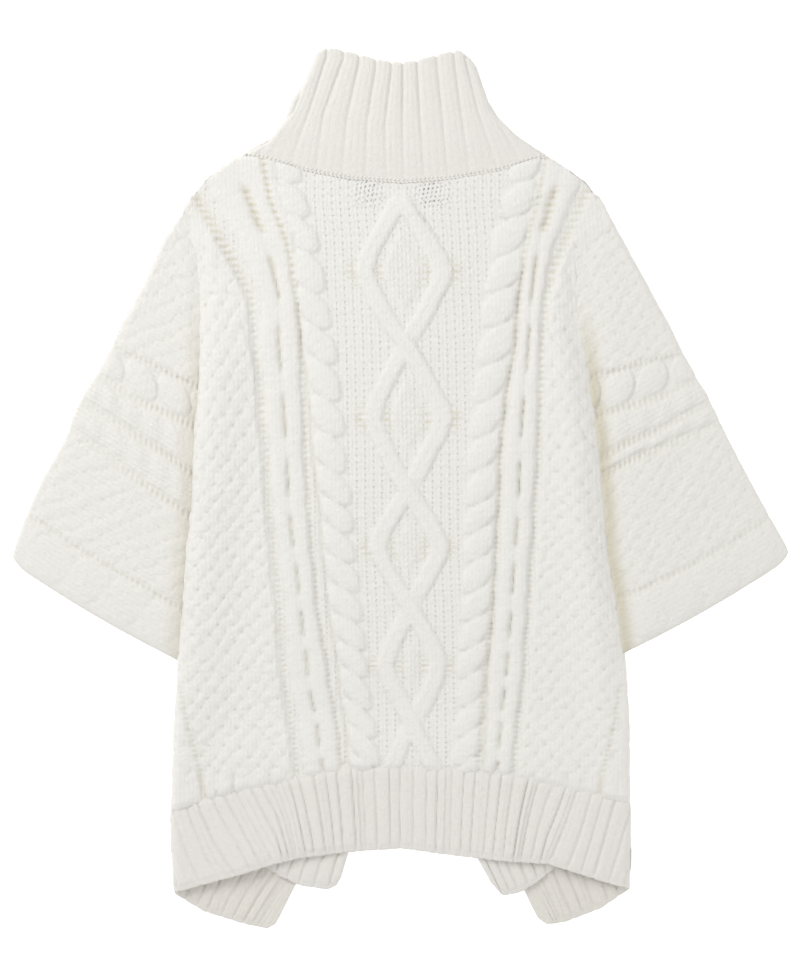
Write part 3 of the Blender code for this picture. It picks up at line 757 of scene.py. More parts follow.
def rollCuff(points, fields):
    # Turns the last row of a grid round under itself, so that the cuff shows a rounded thickness
    half, steps = sleeveCut["edgeWall"] / 2, sleeveCut["edgeSteps"]
    edge = points[-1]
    away = unit(edge - points[-2])
    normal = -unit(np.cross(np.gradient(edge, axis=0), away))
    made = [edge + away * half * math.sin(angle) - normal * half * (1 - math.cos(angle))
            for angle in np.linspace(0.0, math.pi, steps + 1)[1:]]
    made.append(made[-1] - away * sleeveCut["edgeBack"])
    grown = [np.concatenate([field, np.repeat(field[-1:], steps + 1, axis=0)]) for field in fields]
    grown[0][len(points):] *= np.append(np.linspace(0.9, 0.25, steps), 0.0)[:, None]
    return np.concatenate([points, np.array(made)]), grown


def sleeveRelief(side, a, share, fromInner):
    lines = sleeveLines[side]
    marks = np.array([mix(inner, outer, share) for outer, inner in zip(lines["outer"], lines["inner"])])
    g = np.zeros_like(a)
    span = np.zeros_like(a)
    for k in range(6):
        inside = (a >= marks[k]) if k else np.ones_like(a, bool)
        part = (a - marks[k]) / np.maximum(marks[k + 1] - marks[k], 1e-6)
        g = np.where(inside, k + part, g)
        span = np.where(inside, marks[k + 1] - marks[k], span)
    length = sleeveCut["length"][side]
    a = a + 0.0045 * wander(a * length, fromInner, 50.0, 31)
    fromInner = fromInner + 1.6 * wander(a * length, fromInner, 60.0, 32)
    rowsAlong = fromInner / sleeveCut["rowLength"]
    bars = 0.5 + 0.5 * np.cos(rowsAlong * math.tau)
    toLine = {k: (a - marks[k]) * length for k in range(1, 7)}

    weave, cornerShade = weaveRelief((a - marks[1]) * length / sleeveCut["weaveWide"] + 0.2, rowsAlong / 3.6)
    height = 0.8 + weave * sleeveCut["weaveHeight"]
    # painted shade in the pits of the interlaced field
    deep = 0.3 * cornerShade
    purl = np.zeros_like(a)
    plain = np.full_like(a, 0.3)

    ribbed = (g > 1) & (g <= 4)
    height = np.where(ribbed, 1.0, height)
    deep = np.where(ribbed, 0.0, deep)
    rope = (a - 0.5 * (marks[1] + marks[2])) * length
    ropeHalf = np.maximum((marks[2] - marks[1]) * length * 0.40, 6.0)
    zone = smooth(ropeHalf + 0.5 - np.abs(rope), 0.0, 1.8)
    pitch = sleeveCut["ropePitch"]
    lobes = ropeRelief(rope, fromInner / pitch, pitch, -1.0, ropeHalf)
    height = mix(height, lobes * sleeveCut["ropeHeight"], zone)
    for k in (2, 3):
        rib = (a - 0.5 * (marks[k] + marks[k + 1])) * length
        ribHalf = np.maximum((marks[k + 1] - marks[k]) * length * 0.5 - 4.2, 4.0)
        inRib = smooth(ribHalf + 0.5 - np.abs(rib), 0.0, 1.8)
        knots = 0.82 + 0.18 * np.cos(fromInner / 26.0 * math.tau + k * 2.0)
        plump = dome(np.clip(rib / ribHalf, -1, 1)) ** 0.7
        height = mix(height, plump * sleeveCut["ribHeight"] * knots, inRib)
        plain = mix(plain, 0.45, inRib)
    cuff = (a - 0.5 * (marks[5] + 1.0)) * length
    cuffHalf = np.maximum((1.0 - marks[5]) * length * 0.46, 6.0)
    inCuff = smooth(g - 5.0, 0.08, 0.2)
    pitch = sleeveCut["cuffPitch"]
    arcs = ropeRelief(cuff, fromInner / pitch + 0.2, pitch, 1.0, cuffHalf * 1.05)
    height = mix(height, 1.6 + arcs * sleeveCut["cuffHeight"], inCuff)
    deep = deep * (1 - inCuff)
    # painted shade in the ladders
    for k, wide, ladderShade in ((1, 3.4, 0.45), (2, 4.2, 0.5), (3, 4.2, 0.6), (4, 4.4, 0.55), (5, 3.2, 0.4)):
        ladder = bell(toLine[k], wide)
        openness = mix(1.0, 0.7 if k == 5 else 0.3, smooth(fromInner, 25.0, 130.0))
        height = height - ladder * (0.5 + 1.6 * bars) * openness
        deep = np.maximum(deep, ladder * bars ** 1.4 * ladderShade * openness)
    height = height * (1.0 + 0.10 * wander(a * length, fromInner, 48.0, 11))
    height = height + tufts(a * length, fromInner, 12)
    # painted shade in the valley beside the armhole, where the sleeve runs under the back's edge
    shade, place, wide = sleeveCut["shade"][side]
    deep = np.maximum(deep, shade * bell(fromInner - place, wide) * smooth(a, 0.08, 0.35))
    return height, purl, plain, deep, rowsAlong


def makeSleeve(side):
    edge = sleeveEdge[side]
    sign = signOf[side]
    wall = garment["wall"]
    rows, across, arc, under = (sleeveCut[k] for k in ("rows", "across", "arc", "under"))
    lengths = np.concatenate([[0.0], np.cumsum(np.hypot(np.diff(edge["x"]), np.diff(edge["y"])))])
    total = across + arc + under
    points = np.zeros((rows, total, 3))
    fields = np.zeros((3, rows, total))  # a, share to the outer edge, run from the armhole
    for r in range(rows):
        down = r / (rows - 1)
        outer = np.array([np.interp(down * lengths[-1], lengths, edge[axis]) for axis in "xy"])
        innerY = mix(sleeveCut["armholeTop"][side], sleeveCut["cuffInner"][side], down)
        fold = float(read(sideFolds, "y", side, innerY))
        tuck = sleeveCut["tuck"] * float(smooth(-innerY, -sleeveCut["armholeTop"][side], -205.0))
        inner = np.array([fold - sign * tuck, innerY])
        direction = inner - outer
        width = np.linalg.norm(direction)
        direction /= width
        nearZ = sleeveCut["crown"] + wall - sleeveCut["sink"]
        farZ = sleeveCut["sink"] + 0.9
        radius = (nearZ - farZ) / 2
        reach = radius + sleeveCut["sink"]
        start = outer + direction * reach
        share = np.linspace(0.0, 1.0, across)
        top = inner + (start - inner) * share[:, None]
        run = share * (width - reach)
        # below the armhole's top the sleeve lies under the back's edge
        tucked = float(smooth(-innerY, -sleeveCut["armholeTop"][side] - 10, -190.0))
        seamZ = mix(garment["nearRest"] + wall - 1.3, sleeveCut["seamZ"], tucked)
        topZ = mix(seamZ, nearZ, smooth(run, 5.0, sleeveCut["slope"][side]))
        angles = np.linspace(0.0, math.pi, arc + 2)[1:-1]
        turned = outer + direction * (reach - radius * np.sin(angles))[:, None]
        turnedZ = (nearZ + farZ) / 2 + radius * np.cos(angles)
        shareLow = np.linspace(0.0, 1.0, under)
        innerFar = np.array([fold - sign * 8.0, innerY])
        low = start + (innerFar - start) * shareLow[:, None]
        flat = np.concatenate([top, turned, low])
        z = np.concatenate([topZ, turnedZ, np.full(under, farZ)])
        alongEdge = np.array([edge["x"][-1] - edge["x"][-2], edge["y"][-1] - edge["y"][-2]])
        alongEdge /= np.linalg.norm(alongEdge)
        part = np.linalg.norm(flat - outer, axis=1)
        bow = sleeveCut["bow"] * np.sin(math.pi * np.clip(part / width, 0.0, 1.0))
        corner = sleeveCut["corner"] * np.clip(1.0 - part / 22.0, 0.0, 1.0) ** 2
        flat = flat + alongEdge * ((bow - corner - 1.5) * down ** 6 - 7.0 * (1.0 - down) ** 14)[:, None]
        z = z - 0.8 * (1.0 - down) ** 22 * (z > nearZ - 4.0)
        points[r] = np.concatenate([flat, z[:, None]], axis=1)
        fields[0, r] = down
        fields[1, r] = np.concatenate([share * (width - reach) / width, np.full(arc, 1.0), 1.0 - shareLow])
        fields[2, r] = np.concatenate([run, width - reach + radius * angles,
                                       width - reach + radius * math.pi + shareLow * width])
    height, purl, plain, deep, pattern = sleeveRelief(side, *fields)
    easeCuff = smooth(1.0 - fields[0], 0.0, 0.012)
    calm = 0.6 * smooth(fields[1], 0.9, 0.985) + 0.6 * (1 - smooth(fields[0], 0.0, 0.05))
    height = height * (1.0 - np.clip(calm, 0.0, 0.75))
    height = height * mix(0.5, 1.0, easeCuff)
    layers = [height, purl, plain, deep, fields[0] * sleeveCut["length"][side] / 10.0, pattern]
    if side == "left":
        points, layers = flipped(points, layers, 1)
    points, layers = flipped(*rollCuff(points, layers), 0)
    height, purl, plain, deep, u, v = layers
    return skin("sleeveKnit" + side.capitalize(), points, height,
                {"purl": purl, "plain": plain, "deep": deep},
                np.stack([u, v], axis=-1), sleeveWool)


sleeves = {side: makeSleeve(side) for side in signOf}
print("sleeves knitted")


# Ribs for the collar and the bands: one node tree that raises each cloth's own rib lines
def startTree(name, source, numbers):
    tree = bpy.data.node_groups.new(name, "GeometryNodeTree")
    kinds = {source: "Geometry", **{title: "Float" for title in numbers}, "Wool": "Material"}
    for title, kind in kinds.items():
        tree.interface.new_socket(title, in_out="INPUT", socket_type="NodeSocket" + kind)
    tree.interface.new_socket("Knit", in_out="OUTPUT", socket_type="NodeSocketGeometry")
    return tree, tree.nodes.new("NodeGroupInput").outputs, calculator(tree)


def endTree(tree, whole, wool):
    dressed = add(tree, "GeometryNodeSetMaterial", [("Geometry", whole), ("Material", wool)]).outputs[0]
    tree.links.new(dressed, tree.nodes.new("NodeGroupOutput").inputs[0])


def ribTree():
    tree, given, calc = startTree("ribbedKnit", "Cloth", ("Rib Height", "Flatness", "Leg Height"))
    rib, ease, leg = (add(tree, "GeometryNodeInputNamedAttribute", [("Name", title)],
                          data_type="FLOAT").outputs[0]
                      for title in ("rib", "ease", "leg"))
    offCentre = calc("ABSOLUTE", calc("MULTIPLY_ADD", calc("FRACT", rib), 2.0, -1.0))
    profile = calc("SUBTRACT", 1.0, calc("POWER", offCentre, given["Flatness"]))
    legs = calc("POWER", calc("ABSOLUTE", calc("SINE", calc("MULTIPLY", leg, math.pi))), 0.7)
    raised = calc("MULTIPLY_ADD", calc("MULTIPLY", profile, ease), given["Rib Height"],
                  calc("MULTIPLY", legs, given["Leg Height"]))
    normal = add(tree, "GeometryNodeInputNormal").outputs[0]
    offset = add(tree, "ShaderNodeVectorMath", [(0, normal), ("Scale", raised)],
                 operation="SCALE").outputs[0]
    moved = add(tree, "GeometryNodeSetPosition",
                [("Geometry", given["Cloth"]), ("Offset", offset)]).outputs[0]
    endTree(tree, add(tree, "GeometryNodeRealizeInstances", [(0, moved)]).outputs[0], given["Wool"])
    return tree


def applyTree(piece, tree, **values):
    modifier = piece.modifiers.new(tree.name, "NODES")
    modifier.node_group = tree
    identifiers = {item.name: item.identifier for item in tree.interface.items_tree
                   if item.in_out == "INPUT"}
    for title, value in values.items():
        modifier[identifiers[title.replace("_", " ")]] = value
    piece.update_tag()
    bpy.context.view_layer.update()
    evaluated = piece.evaluated_get(bpy.context.evaluated_depsgraph_get())
    made = bpy.data.meshes.new_from_object(evaluated)
    piece.modifiers.clear()
    old = piece.data
    piece.data = made
    made.name = piece.name
    bpy.data.meshes.remove(old)
    return piece


ribs = ribTree()


def raiseRibs(name, cut, points, rib, ease, u, v, marks, **closed):
    marks = {"rib": rib, "ease": ease, "leg": rib * 3.0, **marks}
    piece = gridMesh(name, points, marks, np.stack([u, v], axis=-1), ribWool, closeRows=True, **closed)
    return applyTree(piece, ribs, Rib_Height=cut["ribHeight"] * mm, Flatness=cut["flatness"],
                     Leg_Height=cut["legHeight"] * mm, Wool=ribWool)


collarSides = table(
    ("y", "left", "right"),
    (349, -169, 154), (357, -155, 141), (365, -141, 129), (374, -134, 118), (391, -121, 102),
    (407, -115, 92), (424, -103, 85), (441, -95, 79), (452, -90, 71),
)
collarTop = table(
    ("x", "y"),
    (-90, 452), (-79, 460.5), (-62, 458), (-43, 453), (-19, 447), (-3, 445), (15, 447), (41, 454),
    (60, 458), (71, 452),
)
# Grooves between the collar's ribs, from the neck seam to the upper edge
collarGrooves = table(
    ("foot", "middle", "head"),
    (-158, -111, -93), (-118, -95, -77.6), (-90.5, -81, -60), (-62.4, -56.5, -43.7), (-37.8, -35.4, -26),
    (-14.3, -16.7, -9.7), (3.2, 2, 2), (25.5, 20.8, 17.3), (50, 44.2, 38), (73.5, 64, 56), (104, 81, 67),
    (130, 93, 77),
)
collarCut = {
    "rows": 92,
    "near": 216,
    "fold": 14,
    "far": 110,
    "ribsAround": 25,
    "ribHeight": 2.1,
    "flatness": 3.6,
    "legHeight": 0.25,
    "sink": 1.3,
    "crown": 8.2,
    "top": 452.0,
    "neckDrop": 60.0,
    "neckCorner": {"left": -155.0, "right": 140.0},
}


def frontNeckline(x, corner):
    return garment["neckY"] - collarCut["neckDrop"] * (1.0 - np.clip(x / corner, 0.0, 1.0) ** 2)


def makeCollar():
    wall = garment["collarWall"]
    rows, near, fold, far = (collarCut[k] for k in ("rows", "near", "fold", "far"))
    total = near + far + fold * 2
    middle = np.zeros((rows, total, 3))
    rib, ease = np.zeros((rows, total)), np.ones((rows, total))
    farZ = wall / 2 + 0.8
    grooveY = np.array([344.0, 398.0, 447.0])
    for r in range(rows):
        up = r / (rows - 1)
        height = mix(garment["neckY"], collarCut["top"], up)
        left, right = (float(read(collarSides, "y", side, height)) for side in ("left", "right"))
        nearZ = wall / 2 + mix(garment["nearRest"], collarCut["crown"], float(smooth(up, 0.0, 0.3)))
        radius = (nearZ - farZ) / 2
        reach = wall / 2 + radius
        angles = np.linspace(0.0, math.pi, fold + 2)[1:-1]
        nearX = np.linspace(left + reach, right - reach, near)
        x = np.concatenate([nearX, right - reach + radius * np.sin(angles),
                            np.linspace(right - reach, left + reach, far),
                            left + reach - radius * np.sin(angles)])
        z = np.concatenate([np.full(near, nearZ), (nearZ + farZ) / 2 + radius * np.cos(angles),
                            np.full(far, farZ),
                            (nearZ + farZ) / 2 - radius * np.cos(angles)])
        layer = (nearZ - z) / (nearZ - farZ)
        part = (x - left) / (right - left)
        footX = mix(collarSides["left"][0], collarSides["right"][0], part)
        nearFoot = read(topEdge, "x", "y", footX) - 3.0
        corner = np.where(footX < 0, collarCut["neckCorner"]["left"], collarCut["neckCorner"]["right"])
        footY = mix(nearFoot, frontNeckline(footX, corner) + 1.3, smooth(layer, 0.6, 1.0))
        headX = mix(collarSides["left"][-1], collarSides["right"][-1], part)
        headY = read(collarTop, "x", "y", headX) - 2.0 * layer - 2.0
        middle[r] = np.stack([x, mix(footY, headY, up), z], axis=1)
        lines = np.array([np.interp(height, grooveY, groove) for groove in zip(*collarGrooves.values())])
        count = len(lines) - 1
        slopeIn = (lines[-1] - lines[0]) / count
        nearRib = np.interp(nearX, lines, np.arange(count + 1))
        nearRib += np.minimum(nearX - lines[0], 0) / slopeIn + np.maximum(nearX - lines[-1], 0) / slopeIn
        arcRun = radius * angles / slopeIn
        rightRib = nearRib[-1] + arcRun
        leftRib = collarCut["ribsAround"] + nearRib[0] - arcRun[::-1]
        farRib = np.linspace(rightRib[-1], leftRib[0], far + 2)[1:-1]
        rib[r] = np.concatenate([nearRib, rightRib, farRib, leftRib])
        ease[r] = mix(0.32, 1.15, float(smooth(up, 0.05, 0.85)))
    u, v = rib * 1.5, np.repeat(np.linspace(0, 20, rows)[:, None], total, axis=1)
    seamEase = np.repeat(smooth(np.linspace(0, 1, rows), 0.0, 0.06)[:, None], total, axis=1)
    points, fields, _ = shellOf(middle, wall - 2 * collarCut["sink"], [rib, ease * seamEase, u, v],
                                closeColumns=True)
    marks = {"plain": np.full(points.shape[:2], 0.2)}
    return raiseRibs("collarKnit", collarCut, points, *fields, marks, closeColumns=True,
                     wrapU=collarCut["ribsAround"] * 1.5)


collar = makeCollar()
print("collar knitted:", len(collar.data.polygons) * 2, "triangles")

# The turned ends of the back's band on the far side, and the fronts' own bands on top of them
bandColumns = ("along", "topX", "topY", "lowX", "lowY")
bandTurn = {
    "left": table(
        bandColumns,
        (0, -242, -340, -238, -423), (0.3, -198, -356, -206, -442), (0.65, -147, -371, -169, -453.5),
        (0.92, -108, -382, -140, -460.5), (1, -97, -385, -132, -456),
    ),
    "right": table(
        bandColumns,
        (0, 241, -331, 240, -418), (0.3, 203, -352, 209, -439), (0.65, 158, -372, 172, -453),
        (0.92, 125, -384, 153, -456), (1, 115, -388, 144, -450),
    ),
}
frontBand = {
    "left": table(
        bandColumns,
        (0, -151, -294, -167, -374), (0.25, -137, -312, -153, -388), (0.5, -111, -326, -128, -404),
        (0.7, -85, -334, -106, -414), (0.93, -55, -338, -76, -418.5), (1, -47, -339, -68, -414),
    ),
    "right": table(
        bandColumns,
        (0, 159, -298, 177, -378), (0.25, 140, -318, 160, -396), (0.5, 112, -334, 141, -412),
        (0.7, 91, -343, 123, -422), (0.93, 71, -350, 106, -425), (1, 66, -351, 100, -418),
    ),
}
bandCut = {
    "rows": 44,
    "near": 460,
    "arc": 14,
    "turned": 120,
    "pitch": 13.3,
    "ribHeight": 2.5,
    "flatness": 4.2,
    "legHeight": 0.2,
    "rise": 3.2,
    "sink": 1.2,
    "frontRise": 5.3,
    "frontRibs": 8.6,
    "turnedRun": 112.0,
}


def ribVaries(rib):
    whole = np.round(rib)
    return 0.82 + 0.28 * np.sin(whole * 12.9898) * np.cos(whole * 4.1)


def ribShell(name, middle, rib, along, ease):
    v = np.repeat((along / 6.0)[:, None], middle.shape[1], axis=1)
    points, fields, ends = shellOf(middle, garment["wall"] - 2 * bandCut["sink"], [rib, ease, rib * 1.5, v])
    # painted shade on the bands' low parts, which lie under the raised hem
    marks = {"plain": np.full(points.shape[:2], 0.14),
             "deep": 0.16 * (1 - smooth(points[..., 2], 5.0, 9.0))}
    return raiseRibs(name, bandCut, points, *fields, marks, ends=ends)


def makeHemBand():
    rows, near, arc, wrap = (bandCut[k] for k in ("rows", "near", "arc", "turned"))
    wall = garment["wall"]
    farZ = wall / 2 + 0.6
    total = near + 2 * (arc + wrap)
    middle = np.zeros((rows, total, 3))
    rib = np.zeros((rows, total))
    for r in range(rows):
        down = 1.0 - r / (rows - 1)
        left, right = (mix(bandTurn[side]["topX"][0], bandTurn[side]["lowX"][0], down) for side in signOf)
        nearZ = wall / 2 + garment["hemLift"] + 0.2
        radius = (nearZ - farZ) / 2
        reach = farZ + radius
        x = np.linspace(left + reach, right - reach, near)
        seam, edge = read(hemLines, "x", "seam", x) + 5.0, read(hemLines, "x", "edge", x)
        besideVent = np.exp(-((np.abs(x) - 140.0) / 60.0) ** 2)
        z = nearZ + bandCut["rise"] * besideVent * smooth(down, 0.1, 1.0)
        y = mix(seam, edge, down)
        nearRib = (x - read(hemLines, "x", "lean", x) * (seam - y)) / bandCut["pitch"]
        middle[r, arc + wrap:arc + wrap + near] = np.stack([x, y, z], axis=1)
        rib[r, arc + wrap:arc + wrap + near] = nearRib
        for side in signOf:
            end, sign = bandTurn[side], signOf[side]
            fold = left if side == "left" else right
            angles = np.linspace(0.0, math.pi, arc + 1)[1:]
            arcX = fold - sign * (reach - radius * np.sin(angles))
            arcZ = (nearZ + farZ) / 2 + radius * np.cos(angles)
            nearY = y[0] if side == "left" else y[-1]
            firstY = mix(end["topY"][0] + 3.0, end["lowY"][0], down)
            arcY = mix(nearY, firstY, 0.5 - 0.5 * np.cos(angles))
            share = np.linspace(0.0, 1.0, wrap + 1)[1:]
            top = np.stack([read(end, "along", "topX", share), read(end, "along", "topY", share) - 0.7])
            low = np.stack([read(end, "along", "lowX", share), read(end, "along", "lowY", share)])
            turned = mix(top, low, down)
            placeFlank(middle, r, side, np.stack([np.append(arcX, turned[0]), np.append(arcY, turned[1]),
                                                  np.append(arcZ, np.full(wrap, farZ))], axis=1))
            first = nearRib[0] if side == "left" else nearRib[-1]
            run = np.append(radius * angles, radius * math.pi + share * bandCut["turnedRun"])
            placeFlank(rib, r, side, first + sign * run / bandCut["pitch"])
    seamRows = smooth(np.linspace(1.0, 0.0, rows), 0.0, 0.1)[:, None]
    edgeRows = smooth(np.linspace(0.0, 1.0, rows), 0.0, 0.09)[:, None]
    ease = np.repeat(mix(0.5, 1.0, seamRows) * mix(0.3, 1.0, edgeRows), total, axis=1)
    ease = ease * ribVaries(rib) * (1.0 + 0.6 * bell(middle[..., 0] + 78.0, 30.0)
                                    + 0.5 * bell(middle[..., 0] - 120.0, 26.0))
    rib = rib + 0.10 * np.sin(rib * 2.3 + 1.0)
    fromEnd = np.minimum(np.arange(total), np.arange(total)[::-1])
    ease = ease * mix(0.15, 1.0, smooth(fromEnd, 14, 22))
    return ribShell("hemBandKnit", middle, rib, np.linspace(0, 83, rows), ease)


def makeFrontBand(side):
    rows, columns = bandCut["rows"], 132
    band = frontBand[side]
    share = np.linspace(0.0, 1.0, columns)
    if side == "right":
        share = share[::-1]
    top = np.stack([read(band, "along", "topX", share), read(band, "along", "topY", share) - 2.6])
    low = np.stack([read(band, "along", "lowX", share), read(band, "along", "lowY", share)])
    middle = np.zeros((rows, columns, 3))
    lift = bandCut["frontRise"] + garment["wall"] / 2
    for r in range(rows):
        flat = mix(top, low, 1.0 - r / (rows - 1))
        middle[r] = np.stack([flat[0], flat[1], np.full(columns, lift)], axis=1)
    rib = np.repeat(share[None] * bandCut["frontRibs"] * -signOf[side], rows, axis=0)
    ease = np.repeat(mix(0.3, 1.0, smooth(np.linspace(0.0, 1.0, rows), 0.0, 0.09))[:, None], columns,
                     axis=1)
    return ribShell("hemBandFrontKnit" + side.capitalize(), middle, rib, np.linspace(0, 80, rows), ease)


hemBand = makeHemBand()
frontBands = {side: makeFrontBand(side) for side in signOf}
print("bands knitted")

frontCut = {
    "rows": 150,
    "across": 96,
    "splitY": 60.0,
    "looseSeam": 1.3,
    "firstTurn": 20.0,
    "rise": 4.8,
    "wall": 1.2,
    "relief": 0.34,
}


def makeFront(side):
    band, sign = frontBand[side], signOf[side]
    under = garment["underarm"][side]
    armholeTop = sleeveCut["armholeTop"][side]
    hemY = band["topY"][0]
    shoulder = topEdge["x"][0] if side == "left" else topEdge["x"][-1]
    rows, across = frontCut["rows"], frontCut["across"]
    share = np.linspace(0.0, 1.0, across)
    if side == "right":
        share = share[::-1]
    seamTop = float(read(sideFolds, "y", side, under)) - sign * frontCut["firstTurn"]
    seamLow = bandTurn[side]["topX"][-1]
    lowY = read(band, "along", "topY", share)
    bow = read(band, "along", "topX", share) - mix(band["topX"][0], band["topX"][-1], share)
    middle = np.zeros((rows, across, 3))
    for r, height in enumerate(np.linspace(hemY, backCut["top"], rows)):
        up = (height - hemY) / (backCut["top"] - hemY)
        if height > under:
            yoke = float(smooth(height, armholeTop, 285.0))
            outer = float(read(sideFolds, "y", side, height)) - sign * sleeveCut["tuck"] * (1.0 - yoke)
        else:
            outer = mix(seamTop, seamLow, (under - height) / (under - bandTurn[side]["topY"][-1]))
        outer -= sign * (frontCut["looseSeam"] + 2.5 * float(smooth(height, 270.0, 295.0)))
        middleY = mix(band["topY"][-1], garment["neckY"] - collarCut["neckDrop"], up)
        parted = max(0.0, (frontCut["splitY"] - middleY) / (frontCut["splitY"] - band["topY"][-1])) ** 1.25
        inner = sign * 0.15 + band["topX"][-1] * parted
        x = mix(outer, inner, share) + bow * (1.0 - up) ** 6
        topX = mix(shoulder, 0.0, share)
        neck = frontNeckline(topX, collarCut["neckCorner"][side])
        y = mix(lowY, np.minimum(read(topEdge, "x", "y", topX), neck) - 5.0, up)
        lift = frontCut["rise"] * (1.0 - smooth(y - lowY, 0.0, 42.0))
        middle[r] = np.stack([x, y, lift + garment["wall"] / 2], axis=1)
    # the fronts carry the back's cables, seen from their right side, which faces the floor
    spread = middle[..., 0]
    # the back's painted shade in pits, slits and ladders comes along with its relief
    relief, purl, plain, deep, _, pattern = backRelief(spread, middle[..., 1])
    u = spread / garment["stitchWide"]
    points, fields, ends = shellOf(middle, frontCut["wall"], [relief, purl, plain, deep, u, pattern])
    relief, purl, plain, deep, u, v = fields
    normals = normalsOf(points, closeRows=True)
    raised = points + normals * (np.clip(relief, 0.0, 5.0) * frontCut["relief"])[..., None]
    raised[..., 2] = np.maximum(raised[..., 2], 0.1)
    return gridMesh("frontKnit" + side.capitalize(), raised, {"purl": purl, "plain": plain, "deep": deep},
                    np.stack([u, v], axis=-1), cableWool, closeRows=True, ends=ends)


fronts = {side: makeFront(side) for side in signOf}
print("fronts knitted")


labelCut = {
    "x": (-33.6, 45.6, 41),
    "y": (288.4, 318.1, 16),
    "height": 5.5,
    "wall": 0.7,
    "colour": "#3a3b40",
    "threadColour": "#46474d",
}


def makeLabel():
    gridX, gridY = np.meshgrid(np.linspace(*labelCut["x"]), np.linspace(*labelCut["y"]))
    middle = np.stack([gridX, gridY, np.full_like(gridX, labelCut["height"])], axis=-1)
    points, fields, ends = shellOf(middle, labelCut["wall"], [gridX, gridY])
    return gridMesh("labelTape", points, {}, np.stack(fields, axis=-1), labelTape, closeRows=True,
                    ends=ends)


def tapeMaterial():
    # Woven satin tape: smooth and faintly glossy, with a fine crosswise thread
    material, tree = emptyMaterial("wovenLabelTape")
    place = add(tree, "ShaderNodeTexCoord").outputs["Object"]
    thread = add(tree, "ShaderNodeTexWave", [("Vector", place), ("Scale", 1 / (2.0 * mm * math.tau))],
                 bands_direction="Y").outputs["Fac"]
    bump = add(tree, "ShaderNodeBump", [("Strength", 0.4), ("Distance", 0.2 * mm),
                                        ("Height", thread)]).outputs[0]
    tone = blended(tree, thread, linear(labelCut["colour"]), linear(labelCut["threadColour"]))
    shader = add(tree, "ShaderNodeBsdfPrincipled",
                 [("Base Color", tone), ("Normal", bump), ("Roughness", 0.5)])
    add(tree, "ShaderNodeOutputMaterial", [("Surface", shader.outputs[0])])
    return material


labelTape = tapeMaterial()
label = makeLabel()

# One stitch of the chain that finishes an edge, repeated along a path: two leaning legs of yarn
def chainTree():
    tree, given, calc = startTree("edgeChain", "Path", ("Stitch Length", "Yarn Width", "Lean"))
    path = add(tree, "GeometryNodeMeshToCurve", [("Mesh", given["Path"])]).outputs[0]
    spaced = add(tree, "GeometryNodeResampleCurve", [("Curve", path), ("Length", given["Stitch Length"])],
                 mode="LENGTH").outputs[0]
    joined = tree.nodes.new("GeometryNodeJoinGeometry")
    for sign in (-1.0, 1.0):
        leg = add(tree, "GeometryNodeMeshUVSphere",
                  [("Segments", 8), ("Rings", 5), ("Radius", 1.0)]).outputs[0]
        size = add(tree, "ShaderNodeCombineXYZ", [
            (0, calc("MULTIPLY", given["Stitch Length"], 0.62)),
            (1, calc("MULTIPLY", given["Yarn Width"], 0.5)),
            (2, calc("MULTIPLY", given["Yarn Width"], 0.42)),
        ]).outputs[0]
        turn = add(tree, "ShaderNodeCombineXYZ", [(2, calc("MULTIPLY", given["Lean"], sign))]).outputs[0]
        aside = add(tree, "ShaderNodeCombineXYZ",
                    [(1, calc("MULTIPLY", given["Yarn Width"], 0.42 * sign))]).outputs[0]
        placed = add(tree, "GeometryNodeTransform",
                     [("Geometry", leg), ("Translation", aside), ("Rotation", turn),
                                                     ("Scale", size)]).outputs[0]
        tree.links.new(placed, joined.inputs[0])
    tangent = add(tree, "GeometryNodeInputTangent").outputs[0]
    facing = add(tree, "FunctionNodeAlignEulerToVector", [("Vector", tangent)], axis="X",
                 pivot_axis="Z").outputs[0]
    repeated = add(tree, "GeometryNodeInstanceOnPoints",
                   [("Points", spaced), ("Instance", joined.outputs[0]),
                                                          ("Rotation", facing)]).outputs[0]
    whole = add(tree, "GeometryNodeRealizeInstances", [(0, repeated)]).outputs[0]
    endTree(tree, add(tree, "GeometryNodeSetShadeSmooth", [(0, whole)]).outputs[0], given["Wool"])
    return tree


chainCut = {
    "length": 4.4,
    "width": 3.3,
    "lean": 0.42,
    "ends": (-163.0, 149.0),
    "points": 60,
    "height": 9.8,
}
chain = chainTree()


def edgeChain(name, line):
    mesh = bpy.data.meshes.new(name)
    placed = (line + np.array([shiftX, shiftY, 0.0])) * mm
    mesh.from_pydata([tuple(p) for p in placed], [(k, k + 1) for k in range(len(line) - 1)], [])
    return applyTree(addObject(name, mesh), chain, Stitch_Length=chainCut["length"] * mm,
                     Yarn_Width=chainCut["width"] * mm,
                     Lean=chainCut["lean"], Wool=ribWool)


neckX = np.linspace(*chainCut["ends"], chainCut["points"])
neckY = read(topEdge, "x", "y", neckX) - 0.2
neckZ = np.full_like(neckX, chainCut["height"])
neckChain = edgeChain("neckSeamChain", np.stack([neckX, neckY, neckZ], axis=1))
print("neck seam linked")

# What each piece stands for
standsFor = [
    (back, "back_panel", "cable_knit"),
    (collar, "collar", "rib_knit"),
    (hemBand, "hem_band_back", "rib_knit"),
    (label, "neck_label", "label_cloth"),
]
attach(neckChain, "root")
for side in signOf:
    standsFor += [
        (fronts[side], "front_" + side, "cable_knit"),
        (sleeves[side], "sleeve_" + side, "sleeve_knit"),
        (frontBands[side], "hem_band_front_" + side, "rib_knit"),
    ]
for piece, node, slotName in standsFor:
    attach(piece, "root")
    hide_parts(node)

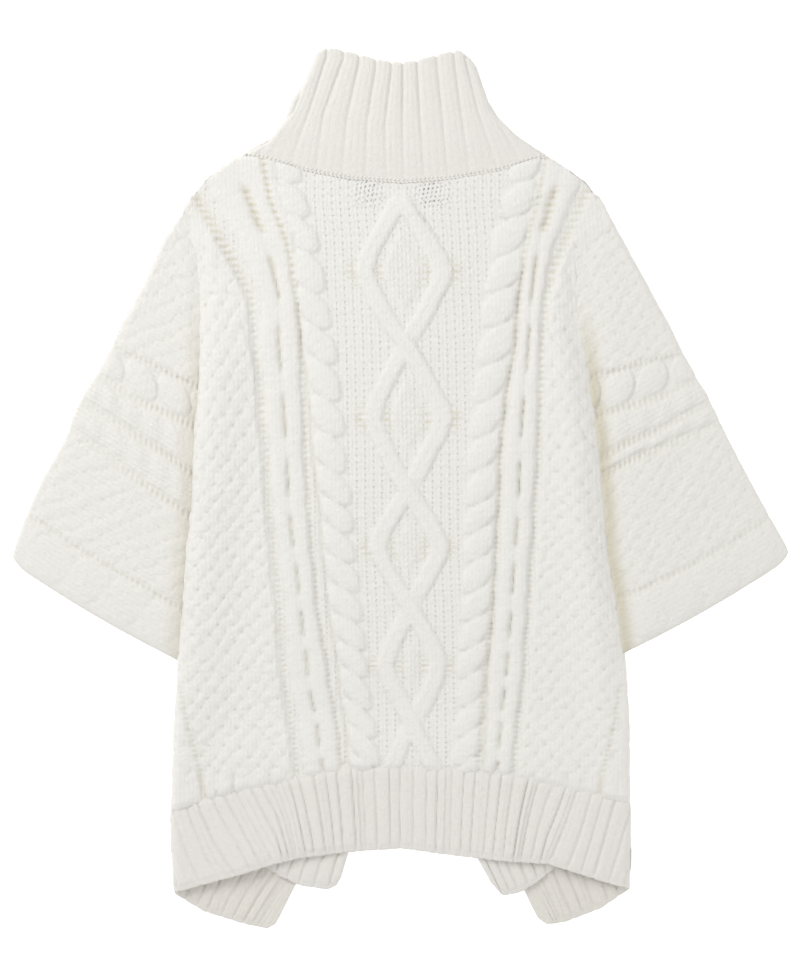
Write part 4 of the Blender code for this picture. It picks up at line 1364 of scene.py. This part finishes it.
# A camera straight above, and even light with a little more from the upper left, in metres
studio = {
    "height": 4.0,
    "frameLength": 1.0269,
    "middle": (-0.00045, -0.0006),
    "lamps": {
        "keyLight": {"place": (-1.5, 1.3, 1.6), "size": 1.4, "watts": 31.8},
        "fillLight": {"place": (1.5, -0.8, 2.0), "size": 2.0, "watts": 12.0},
    },
    "skyStrength": 0.67,
    "floorHalf": 14,
    "floorDrop": 0.0002,
    "floorGlow": 0.45,
}
camera = addObject("camera", bpy.data.cameras.new("camera"))
camera.location = (*studio["middle"], studio["height"])
camera.data.sensor_fit = "VERTICAL"
camera.data.sensor_height = 24.0
camera.data.lens = 24.0 * studio["height"] / studio["frameLength"]
camera.data.clip_end = 20.0
bpy.context.scene.camera = camera


def areaLight(name, place, size, watts):
    # A square lamp that faces the middle of the floor
    data = bpy.data.lights.new(name, "AREA")
    data.shape = "SQUARE"
    data.size = size
    data.energy = watts
    lamp = addObject(name, data)
    lamp.location = place
    lamp.rotation_euler = (0.0, math.acos(place[2] / np.linalg.norm(place)), math.atan2(place[1], place[0]))


for name, lamp in studio["lamps"].items():
    areaLight(name, **lamp)
world = bpy.data.worlds.new("studio")
bpy.context.scene.world = world
world.use_nodes = True
background = world.node_tree.nodes["Background"].inputs
background["Color"].default_value = (1.0, 1.0, 1.0, 1.0)
background["Strength"].default_value = studio["skyStrength"]

floorMesh = bpy.data.meshes.new("floor")
around = ((-1, -1), (1, -1), (1, 1), (-1, 1))
corners = [(x * studio["floorHalf"], y * studio["floorHalf"], 0) for x, y in around]
floorMesh.from_pydata(corners, [], [(0, 1, 2, 3)])
floor = addObject("floor", floorMesh)
floor.location.z = -studio["floorDrop"]
paper = bpy.data.materials.new("paperSweep")
paper.use_nodes = True
paperShader = paper.node_tree.nodes["Principled BSDF"].inputs
paperShader["Base Color"].default_value = (0.95, 0.95, 0.95, 1.0)
paperShader["Roughness"].default_value = 0.9
paperShader["Emission Color"].default_value = (1.0, 1.0, 1.0, 1.0)
paperShader["Emission Strength"].default_value = studio["floorGlow"]
floorMesh.materials.append(paper)
bpy.context.scene.view_settings.view_transform = "Standard"
